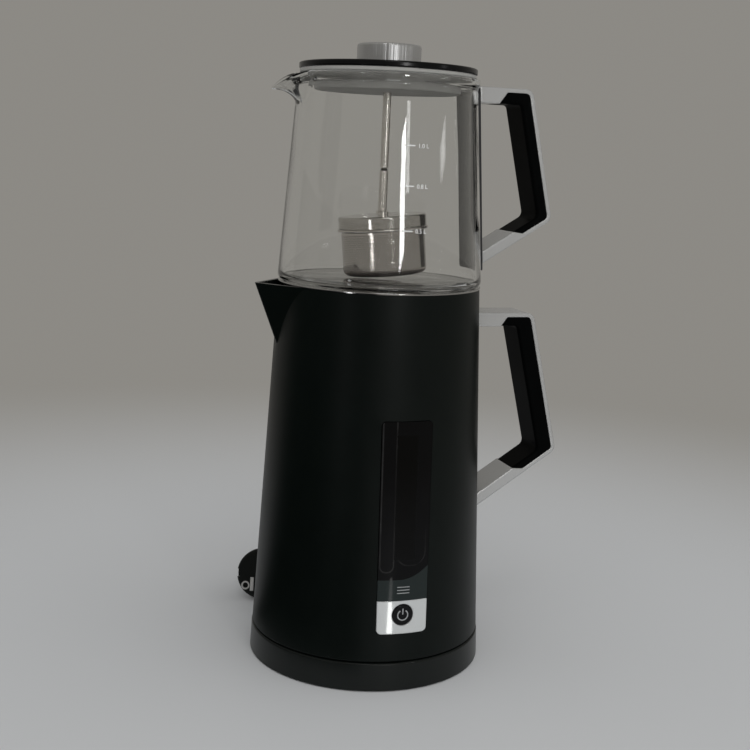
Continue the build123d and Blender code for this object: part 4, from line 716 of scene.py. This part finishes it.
def window_area(f, x, z):
    """1 over the water gauge: a band of |x| times a stretch of z, both with soft ends."""
    band = f.ramp(f.math("ABSOLUTE", x), 1.0, 0.0, 0.0066, 0.0078)
    foot, head = f.ramp(z, 0.0, 1.0, 0.0865, 0.0885), f.ramp(z, 1.0, 0.0, 0.1685, 0.1705)
    return f.math("MULTIPLY", band, f.math("MULTIPLY", foot, head))


def painted_tube_glints(f, x, z):
    """The greater of the two tubes' painted highlight outlines, made patchy by a noise; the right
    one is a foot.
    """
    left = outline_of_tube(f, x, z, (-0.0160, 0.0800), (-0.0072, 0.1900), 0.0040)
    right = outline_of_tube(f, x, z, (-0.0052, 0.0840), (0.0145, 0.1900), 0.0085)
    right = f.math("MULTIPLY", right, f.ramp(z, 1.0, 0.0, 0.090, 0.110))
    patchy = f.ramp(f.noise(45.0), 0.0, 1.0, 0.35, 0.65)
    return f.math("MULTIPLY", f.math("MAXIMUM", left, right), patchy)


panel_gloss = Finish("panel_gloss", (0.0012, 0.0012, 0.0016), 0.05)
panel_gloss.shader.inputs["IOR"].default_value = 1.27
x, _, z = panel_gloss.axes()
under_line = panel_gloss.math("SUBTRACT", climbing_line(panel_gloss, x), z)
below = panel_gloss.ramp(under_line, 0.0, 1.0, -0.0001, 0.0001)
window = window_area(panel_gloss, x, z)
smoked = panel_gloss.mix(window, (0.0008, 0.0008, 0.0011), (0.004, 0.0045, 0.005))
# The tubes' outlines are a painted highlight: glints of their edges painted lighter into the
# colour.
black = panel_gloss.mix(painted_tube_glints(panel_gloss, x, z), smoked, (0.024, 0.0235, 0.023))
slate = panel_gloss.mix(panel_gloss.noise(40.0), (0.0125, 0.0175, 0.0170), (0.0175, 0.0230, 0.0220))
panel_gloss.set("Base Color", panel_gloss.mix(below, black, slate))
panel_gloss.set("Transmission Weight", window)
panel_gloss.set("Roughness", panel_gloss.ramp(below, 0.04, 0.09))
panel_gloss.bump(panel_gloss.noise(120.0, 1.0), 0.00003)
print("nodes in the panel's finish:", len(panel_gloss.tree.nodes))

# %% [markdown]
# ## Metals
#
# Metal has no colour of its own under its mirror: the finish is a tint for the mirror, a roughness
# and fine lines. The lines could be drawn once and wrapped round each piece, but then every piece
# would need its own map. Noise squeezed along one axis runs through all of them alike.


# %% Brushed metal
def brushed(name, color, rough, along, depth=0.00001, spread=0.07):
    """Brushed metal: noise squeezed along the axis (0, 1 or 2) that the brush lines follow."""
    f = Finish(name, color, rough, 1.0)
    stretch = [1.0, 1.0, 1.0]
    stretch[along] = 0.02
    lines = f.noise(2500.0, 2.0, tuple(stretch))
    f.set("Roughness", f.ramp(lines, rough - spread, rough + spread))
    f.set("Base Color", f.mix(f.noise(50.0), color, shade(color, 0.86)))
    f.bump(lines, depth)
    return f


polished_steel = brushed("polished_steel", (0.56, 0.555, 0.55), 0.16, along=0)
screw_steel = brushed("screw_steel", (0.45, 0.45, 0.46), 0.3, along=0)
contact_brass = brushed("contact_brass", (0.62, 0.6, 0.55), 0.25, along=2)
print("brushed metals made, in all", len(bpy.data.materials), "materials")

# %% [markdown]
# The knob is turned on a lathe, which leaves fine rings. They are noise of the distance from the
# axis. It is then polished by hand, and the cloth leaves shallow waves round its side, which catch
# the lamps as soft upright bands. The waves are noise of the direction from the axis.

# %% The turned knob
RING_SCALE = 3000.0
WAVE_SCALE = 7.0
WAVE_DEPTH = 0.0008


def turned_metal(name, color, rough):
    """Rings from the length of (x, y), and waves from its direction.

    The waves fade towards the middle, where every direction meets.
    """
    f = Finish(name, color, rough, 1.0)
    x, y, z = f.axes()
    flat = f.node("CombineXYZ", X=x, Y=y).outputs["Vector"]
    radius = f.vector_math("LENGTH", flat).outputs["Value"]
    ring_place = f.node("CombineXYZ", X=radius, Z=z).outputs["Vector"]
    rings = f.node("TexNoise", Vector=ring_place, Scale=RING_SCALE).outputs["Fac"]
    f.set("Roughness", f.ramp(rings, rough - 0.06, rough + 0.09))
    f.set("Base Color", f.mix(rings, color, shade(color, 0.85)))
    f.bump(rings, 0.00002)
    outward = f.vector_math("NORMALIZE", flat).outputs["Vector"]
    waves = f.node("TexNoise", Vector=outward, Scale=WAVE_SCALE).outputs["Fac"]
    side = f.ramp(radius, 0.0, 1.0, 0.006, 0.0155)
    f.bump(f.math("MULTIPLY", waves, side), WAVE_DEPTH)
    return f


knob_metal = turned_metal("knob_metal", (0.68, 0.685, 0.69), 0.36)
print("nodes in the knob's finish:", len(knob_metal.tree.nodes))

# %% [markdown]
# The handles are not bare metal but silver paint, so they are part mirror and part plain grey.
# Paint also rounds every edge by a hair, which a Bevel node shades without new faces. The same
# recipe, with other shares of mirror, does for the plate round the button, for silver ink and for
# cast metal.


# %% Silver paint
def painted(name, color, rough, metallic, edge=0.0009):
    """Metal-flake paint: fine flakes change the mirror's share, and an orange peel the normal."""
    f = Finish(name, color, rough, metallic)
    f.soft_edges(edge)
    flakes = f.noise(4500.0, 1.0)
    f.set("Roughness", f.ramp(flakes, rough * 0.85, rough * 1.18))
    f.set("Base Color", f.mix(flakes, shade(color, 0.9), shade(color, 1.08)))
    f.bump(f.noise(900.0, 2.0), 0.000006)
    return f


silver_paint = painted("silver_paint", (0.57, 0.57, 0.56), 0.24, metallic=0.55, edge=0.0017)
plate_silver = painted("plate_silver", (0.62, 0.635, 0.625), 0.07, metallic=0.3)
ink_silver = painted("ink_silver", (0.38, 0.39, 0.39), 0.35, metallic=0.2)
ink_white = moulded("ink_white", (0.66, 0.66, 0.65), 0.5, grain=2000.0, depth=0.000004)
cast_metal = painted("cast_metal", (0.5, 0.5, 0.51), 0.45, metallic=1.0)
plug_metal = painted("plug_metal", (0.62, 0.61, 0.59), 0.3, metallic=0.5)
print("paints and inks made, in all", len(bpy.data.materials), "materials")

# %% [markdown]
# ## The infuser's pierced wall
#
# The can's wall is drilled all over with holes much smaller than a pinhead, in staggered rows.
# Thousands of real holes would make a very heavy mesh, and the eye reads them only as a texture.
# So the shader works out, for each point, its cell in a grid of rows wrapped round the can, and the
# distance to the middle of that cell. Within the hole's radius the surface is sunk, and its colour
# is
# painted dark: painted shade for the dim inside of the can seen through a hole. The can hangs a
# little out of true, so the point is first turned back about the can's own leaning axis.

# %% The holes
CAP_TOP = 0.3029  # the height of the point about which the can leans
WALL_FOOT, WALL_HEAD = CAP_TOP - 0.0352, CAP_TOP - 0.0118
LEAN = math.radians(5.5)
LEAN_AXIS = math.radians(71.5)  # from +X, in the level plane
HOLES_ROUND = 126
ROW_PITCH = 0.00121
ROW_HEIGHT = 0.866  # in spacings of the holes, as in a grid of equal triangles
HOLE_R, HOLE_RIM = 0.19, 0.26  # where a hole ends and the full steel begins, in spacings


def hole_pattern(f, x, y, z):
    """1 inside a hole, else 0.

    The angle times the number of holes and the height over the pitch number the cells. Every other
    row is set off by half a cell, and the distance to the cell's middle decides.
    """
    around = f.math("MULTIPLY", f.math("ARCTAN2", y, x), HOLES_ROUND / (2 * math.pi))
    rows = f.math("MULTIPLY", z, 1 / ROW_PITCH)
    odd = f.math("MULTIPLY", f.math("FLOORED_MODULO", f.math("FLOOR", rows), 2.0), 0.5)
    across = f.math("SUBTRACT", f.math("FRACT", f.math("ADD", around, odd)), 0.5)
    along = f.math("MULTIPLY", f.math("SUBTRACT", f.math("FRACT", rows), 0.5), ROW_HEIGHT)
    near = f.node("CombineXYZ", X=across, Y=along).outputs["Vector"]
    return f.ramp(f.vector_math("LENGTH", near).outputs["Value"], 1.0, 0.0, HOLE_R, HOLE_RIM)


print("about", round((WALL_HEAD - WALL_FOOT) / ROW_PITCH) * HOLES_ROUND, "holes in the wall")

# %% [markdown]
# Only the wall is drilled, not the top nor the rounded heel. The heel's colour is painted darker, a
# painted reflection of the dark kettle below. Two more bumps, one coarse and one fine, dent the
# thin steel as pressing does.

# %% The pierced steel
EDGE = 0.0001  # over which the drilling sets in
HEEL_DARK, HEEL_END = CAP_TOP - 0.0372, CAP_TOP - 0.0345

can_steel = Finish("pierced_steel", (0.68, 0.65, 0.62), 0.09, 1.0)
straight = can_steel.node("VectorRotate", Vector=can_steel.place, Center=(0, 0, CAP_TOP),
                          Axis=(math.cos(LEAN_AXIS), math.sin(LEAN_AXIS), 0), Angle=LEAN)
x, y, z = can_steel.axes(straight.outputs["Vector"])
wall = can_steel.math("MULTIPLY", can_steel.ramp(z, 0.0, 1.0, WALL_FOOT, WALL_FOOT + EDGE),
                      can_steel.ramp(z, 1.0, 0.0, WALL_HEAD, WALL_HEAD + EDGE))
hole_sink_and_shade = can_steel.math("MULTIPLY", hole_pattern(can_steel, x, y, z), wall)
# The heel's colour is painted dark: a painted reflection of the kettle below it.
painted_heel_reflection = can_steel.ramp(z, 1.0, 0.0, HEEL_DARK, HEEL_END)
steel = can_steel.mix(painted_heel_reflection, (0.66, 0.63, 0.60), (0.30, 0.245, 0.22))
# Inside the holes the colour is painted near-black: painted shade for the dim inside of the can.
can_steel.set("Base Color", can_steel.mix(hole_sink_and_shade, steel, (0.03, 0.028, 0.026)))
can_steel.set("Roughness", can_steel.ramp(can_steel.noise(70.0), 0.06, 0.12))
can_steel.bump(can_steel.noise(110.0, 2.0), 0.00012)
can_steel.bump(can_steel.noise(820.0, 1.0), 0.00009)
can_steel.bump(hole_sink_and_shade, -0.00012)
print("nodes in the pierced steel:", len(can_steel.tree.nodes))

# %% [markdown]
# The rods are drawn steel, with lines along their length. Where the two are screwed together, a
# band less than two millimetres high is painted dark, as a stretch of Z in the rods' finish:
# painted shade for the groove at the joint.

# %% The rods and the can's fittings
RING_Z = 0.3326

rod_steel = Finish("rod_steel", (0.74, 0.71, 0.67), 0.26, 1.0)
from_ring = rod_steel.math("ABSOLUTE", rod_steel.math("SUBTRACT", rod_steel.axes()[2], RING_Z))
# A dark band at the joint: painted shade for the groove where the two rods meet.
ring = rod_steel.ramp(from_ring, 1.0, 0.0, 0.00065, 0.00085)
lines = rod_steel.noise(2500.0, 2.0, (1.0, 1.0, 0.02))
steel = rod_steel.mix(lines, (0.78, 0.75, 0.71), (0.64, 0.61, 0.57))
rod_steel.set("Base Color", rod_steel.mix(ring, steel, (0.05, 0.045, 0.04)))
rod_steel.set("Roughness", rod_steel.ramp(lines, 0.20, 0.32))
rod_steel.bump(lines, 0.000004)
cap_steel = brushed("cap_steel", (0.62, 0.60, 0.57), 0.12, along=0, depth=0.000004, spread=0.03)
plug_grey = moulded("plug_grey", (0.27, 0.262, 0.242), 0.6, depth=0.00001, specular=0.3)
print("infuser's finishes made, in all", len(bpy.data.materials), "materials")

# %% [markdown]
# ## Glass and clear plastics
#
# Blown glass is never quite flat. A very shallow, long ripple bends the highlights so that they
# wander as they run down the wall, and the wall stays clear because the ripple is far shallower
# than the glass is thick. The lid's gasket and the seals are silicone, which lets light a little
# way in.


# %% Clear finishes
def clear(name, tint, rough, ior, ripple, scale=28.0):
    """Clear material with a faint ripple in its surface."""
    f = Finish(name, tint, rough)
    f.shader.inputs["Transmission Weight"].default_value = 1.0
    f.shader.inputs["IOR"].default_value = ior
    f.bump(f.noise(scale, 1.0, (1, 1, 0.45)), ripple)
    return f


pot_glass = clear("pot_glass", (0.985, 0.99, 0.985), 0.0, ior=1.47, ripple=0.00055, scale=27.0)
clear_plastic = clear("clear_plastic", (0.85, 0.88, 0.88), 0.08, ior=1.45, ripple=0.00002)
silicone = moulded("silicone", (0.30, 0.295, 0.275), 0.45, grain=800.0)
silicone.shader.inputs["Subsurface Weight"].default_value = 0.2
silicone.shader.inputs["Subsurface Radius"].default_value = (0.002, 0.002, 0.002)
print("clear finishes made, in all", len(bpy.data.materials), "materials")

# %% [markdown]
# ## Every node gets its finish
#
# One table says which solid is made of what. A solid has a single material from the moulding shop
# or the press, so one finish per node is enough, and anything drawn on it comes from the shader's
# own coordinates. The last line prints the nodes that the table leaves out, which must be the
# pieces that were made anew.

# %% Give every node its finish
FINISHES = {
    shell_black: ["kettle_shell"],
    base_black: ["base_cover", "kettle_base", "plug_body", "cord_relief"],
    inner_black: ["base_plate", "base_tower", "cord_clamp", "kettle_socket", "thermostat",
                  "tact_switch"],
    grip_black: ["kettle_handle_grip", "pot_handle_grip"],
    strap_grey: ["handle_strap"],
    foot_rubber: ["base_feet"],
    sheath_black: ["inner_lead", "cord_tie"],
    wire_red: ["base_wires", "kettle_wires"],
    board_green: ["control_board"],
    gloss_black: ["lid_cover", "power_button"],
    panel_gloss: ["front_panel"],
    polished_steel: ["steel_liner", "rim_ring", "spout_filter"],
    can_steel: ["basket"],
    cap_steel: ["basket_cap"],
    plug_grey: ["lid_plug"],
    rod_steel: ["upper_rod", "lower_rod"],
    screw_steel: ["base_screws", "kettle_base_screws", "thermostat_screws", "board_screws",
                  "kettle_handle_screws", "pot_handle_screws", "lid_nut", "cap_nut",
                  "heating_element"],
    silver_paint: ["kettle_handle_frame", "pot_handle_frame"],
    plate_silver: ["button_plate"],
    knob_metal: ["lid_knob"],
    cast_metal: ["heater_plate"],
    contact_brass: ["base_contacts"],
    plug_metal: ["plug_pins", "plug_earth"],
    clear_plastic: ["gauge_tube", "status_lamp"],
    silicone: ["lid_gasket", "liner_seal", "gauge_seals"],
}


def paint(obj, finish):
    """Gives an object one finish."""
    obj.data.materials.clear()
    obj.data.materials.append(finish.material)


for finish, names in FINISHES.items():
    for name in names:
        paint(nodes[name], finish)
for piece, finish in ((lead, sheath_black), (glass_body, pot_glass), (litre_marks, ink_white),
                      (lamp_bars, ink_silver), (power_sign, ink_silver)):
    paint(piece, finish)
finished = {name for names in FINISHES.values() for name in names}
print("left without a finish:", sorted(set(nodes) - finished))

# %% [markdown]
# ## Floor and backdrop
#
# The floor is a plain pale sheet, nearly dull, as a coated board is: a glossier one would show an
# image of each lamp. Far from the object it fades into the backdrop's tone, so no horizon line cuts
# through the picture. The fade is only for rays that come from the camera, from a mirror or through
# glass: the light on the object and its shadow are those of a plain floor. A ray that has already
# been scattered by a dull surface, inside the pot for example, carries light and is no view of the
# backdrop, so Diffuse Depth sorts it out.

# %% Floor
BACKDROP = (0.262, 0.252, 0.232)
FLOOR_REACH = 6.0
FADE_FROM, FADE_TO = 0.28, 1.0


def backdrop_rays(f):
    """1 for a camera, glossy or transmission ray that no dull surface has scattered, else 0."""
    rays = f.node("LightPath").outputs
    seen = f.math("MAXIMUM", rays["Is Glossy Ray"], rays["Is Transmission Ray"])
    seen = f.math("MAXIMUM", rays["Is Camera Ray"], seen)
    return f.math("MULTIPLY", seen, f.math("LESS_THAN", rays["Diffuse Depth"], 0.5))


corners = np.array([(-1, -1), (1, -1), (1, 1), (-1, 1)]) * FLOOR_REACH
floor_points = np.column_stack([corners, np.zeros(4)])
floor = mesh_object("floor", floor_points, [[0, 1, 2, 3]], smooth=False)
pale = Finish("floor_pale", (0.69, 0.695, 0.69), 0.42, specular=0.1)
pale.set("Roughness", pale.ramp(pale.noise(20.0), 0.39, 0.45))
away = pale.vector_math("LENGTH", pale.place).outputs["Value"]
fade = pale.ramp(away, 0, 1, FADE_FROM, FADE_TO, kind="SMOOTHSTEP")
tone = pale.node("Emission", Color=(*BACKDROP, 1))
pale.replace_surface(pale.math("MULTIPLY", fade, backdrop_rays(pale)), tone)
paint(floor, pale)
print("floor:", 2 * FLOOR_REACH, "m wide, fading from", FADE_FROM, "to", FADE_TO, "m")

# %% [markdown]
# The world does two jobs. For the rays that see the backdrop it is the backdrop's colour. To
# everything else it is the light of the room: its strength is a constant plus the dot product of
# the ray's direction with a slope, so it grows evenly towards the front and, a little, towards the
# floor. Upright faces are then paler than level ones, as they are beside a window.

# %% World
ROOM_COLOR = (0.97, 0.98, 1.0, 1)
ROOM_LEVEL = 0.86
ROOM_SLOPE = (0.0, -0.42, -0.40)

world = bpy.data.worlds.new("studio")
bpy.context.scene.world = world
world.use_nodes = True
sky = Nodes(world.node_tree)
sky.tree.nodes.clear()
slope = sky.vector_math("DOT_PRODUCT", sky.node("TexCoord").outputs["Generated"])
slope.inputs[1].default_value = ROOM_SLOPE
level = sky.math("ADD", slope.outputs["Value"], ROOM_LEVEL)
room = sky.node("Background", Color=ROOM_COLOR, Strength=level)
backdrop = sky.node("Background", Color=(*BACKDROP, 1), Strength=1.0)
blend = sky.node("MixShader", Fac=backdrop_rays(sky))
sky.feed(blend.inputs[1], room.outputs[0])
sky.feed(blend.inputs[2], backdrop.outputs[0])
sky.node("OutputWorld", Surface=blend.outputs[0])
bpy.context.scene.view_settings.view_transform = "Standard"
print("nodes in the world:", len(sky.tree.nodes))

# %% [markdown]
# ## A black flag
#
# In a room with pale walls all round, black plastic looks grey, because it mirrors them. A studio
# sets up black cloth, a flag, just outside the picture where the plastic would mirror the room.
# This one lies and stands to the front and left: a strip on the floor and a low wall. Only mirror
# rays see it, so it takes no light from the object and is in no picture itself. Its outer side and
# its underside let them through, so the floor that it lies on doesn't mirror it. So does all of it
# for a ray that has gone through glass, which would otherwise get black edges.

# %% The flag
FLAG_FROM, FLAG_TO = -128, -20  # bearings from the front, in degrees towards +X
FLAG_CORNERS = [(0.12, 0.001), (1.5, 0.001), (1.5, 0.42)]  # distance and height
FLAG_COLUMNS = 29


def mirror_prop(obj, finish, open_to):
    """Makes a stage piece that only mirror rays see, and that lets through the rays of open_to."""
    finish.replace_surface(open_to, finish.node("BsdfTransparent"))
    paint(obj, finish)
    for ray in ("camera", "diffuse", "transmission", "volume_scatter", "shadow"):
        setattr(obj, "visible_" + ray, False)


bearing = np.radians(np.linspace(FLAG_FROM, FLAG_TO, FLAG_COLUMNS))
distance, rise = np.array(FLAG_CORNERS).T[..., None]
flag_points = np.stack([distance * np.sin(bearing), -distance * np.cos(bearing),
                        np.broadcast_to(rise, (len(FLAG_CORNERS), FLAG_COLUMNS))], axis=-1)
inward = grid_faces(len(FLAG_CORNERS), FLAG_COLUMNS)[:, ::-1].tolist()
flag = mesh_object("flag", flag_points, inward, smooth=False)
cloth = Finish("flag_cloth", (0.012, 0.012, 0.012), 0.9, specular=0.0)
behind = cloth.node("NewGeometry").outputs["Backfacing"]
through_glass = cloth.node("LightPath").outputs["Transmission Depth"]
in_glass = cloth.math("GREATER_THAN", through_glass, 0.5)
mirror_prop(flag, cloth, cloth.math("MAXIMUM", behind, in_glass))
print("flag:", len(inward), "faces, from", FLAG_FROM, "to", FLAG_TO, "degrees")

# %% [markdown]
# ## A glowing card
#
# The smooth plate round the button leans back, so it mirrors the floor a hand's breadth in front of
# it. A narrow strip of card laid there glows by its own emission, though it is no lamp, and gives
# the plate its bright streak, which is what tells the eye that the plate is smooth. Like the flag,
# the card is only for mirror rays.

# %% The card
CARD_ENDS = np.array([-0.18, -0.355])  # in y
CARD_X, CARD_IN_FRONT = 0.012, 0.257  # where its middle line crosses
CARD_SLANT = 0.113  # sideways for each metre to the front
CARD_HALF_WIDTH = 0.008
CARD_LIFT = 0.002

card_x = CARD_X + (-CARD_ENDS - CARD_IN_FRONT) * CARD_SLANT
card_points = [(x + side, y, CARD_LIFT) for x, y in zip(card_x, CARD_ENDS)
               for side in (-CARD_HALF_WIDTH, CARD_HALF_WIDTH)]
card = mesh_object("card", card_points, [[0, 2, 3, 1]], smooth=False)
# The card is black and glows by its own emission: painted light, though it is no lamp.
card_glow = Finish("card_glow", (0.0, 0.0, 0.0), 0.9, specular=0.0)
card_glow.set("Emission Color", (1.0, 1.0, 0.98, 1))
card_glow.set("Emission Strength", 3.2)
mirror_prop(card, card_glow, card_glow.node("NewGeometry").outputs["Backfacing"])
print("the card faces", [round(v, 2) for v in card.data.polygons[0].normal])

# %% [markdown]
# ## Lamps
#
# A lamp's place decides where its highlight runs on a round body: on a glass cylinder the mirror
# turns the view by twice the angle that the surface has turned. The small front lamp stands where
# its image falls as one bright streak down the middle of the glass, and it leans a little, because
# the glass tapers and would otherwise tilt the streak. A weaker one further right gives the short
# second streak. The low one at the left is too low for the glass and shows only in the steel can.
# The high one lifts the tops and draws a thin light line along the rounded edges.

# %% Lamps
AIM_HEIGHT = 0.22  # of the point on the axis that every lamp faces
LAMPS = [  # name, bearing, distance, height, (width, length), radiance, lean
    ("front_lamp", 3.5, 1.3, 0.458, (0.11, 0.225), 17.0, 18),
    ("right_lamp", 54, 1.3, 0.49, (0.14, 0.08), 3.0, 18),
    ("low_left_lamp", -50, 1.3, 0.14, (0.09, 0.20), 4.5, 0),
    ("high_lamp", -12, 0.85, 1.25, (0.36, 0.36), 2.6, 0),
]


def soft_lamp(name, bearing, distance, height, size, radiance, lean):
    """Area lamp at a bearing from the front, in degrees towards +X, facing the axis.

    Its power is its radiance times pi times its area, so a larger lamp of the same radiance looks
    equally bright in a mirror. It leans in its own plane, with its top towards -X.
    """
    data = bpy.data.lights.new(name, "AREA")
    data.shape = "RECTANGLE"
    data.size, data.size_y = size
    data.energy = radiance * math.pi * size[0] * size[1]
    a, t = math.radians(bearing), math.radians(lean)
    place = np.array([distance * math.sin(a), -distance * math.cos(a), height])
    back = place - np.array([0, 0, AIM_HEIGHT])
    back = back / np.linalg.norm(back)
    side = np.cross((0, 0, 1), back)
    side = side / np.linalg.norm(side)
    above = np.cross(back, side)
    leaning_side = side * math.cos(t) + above * math.sin(t)
    leaning_above = above * math.cos(t) - side * math.sin(t)
    rows = np.column_stack([leaning_side, leaning_above, back, place])
    obj = bpy.data.objects.new(name, data)
    obj.matrix_world = Matrix([*rows.tolist(), [0, 0, 0, 1]])
    bpy.context.scene.collection.objects.link(obj)


for lamp in LAMPS:
    soft_lamp(*lamp)

# %% [markdown]
# ## The finished model
#
# The last call brings every placement and parent up to date and leaves the scene ready.

# %% Finish the scene
bpy.context.view_layer.update()
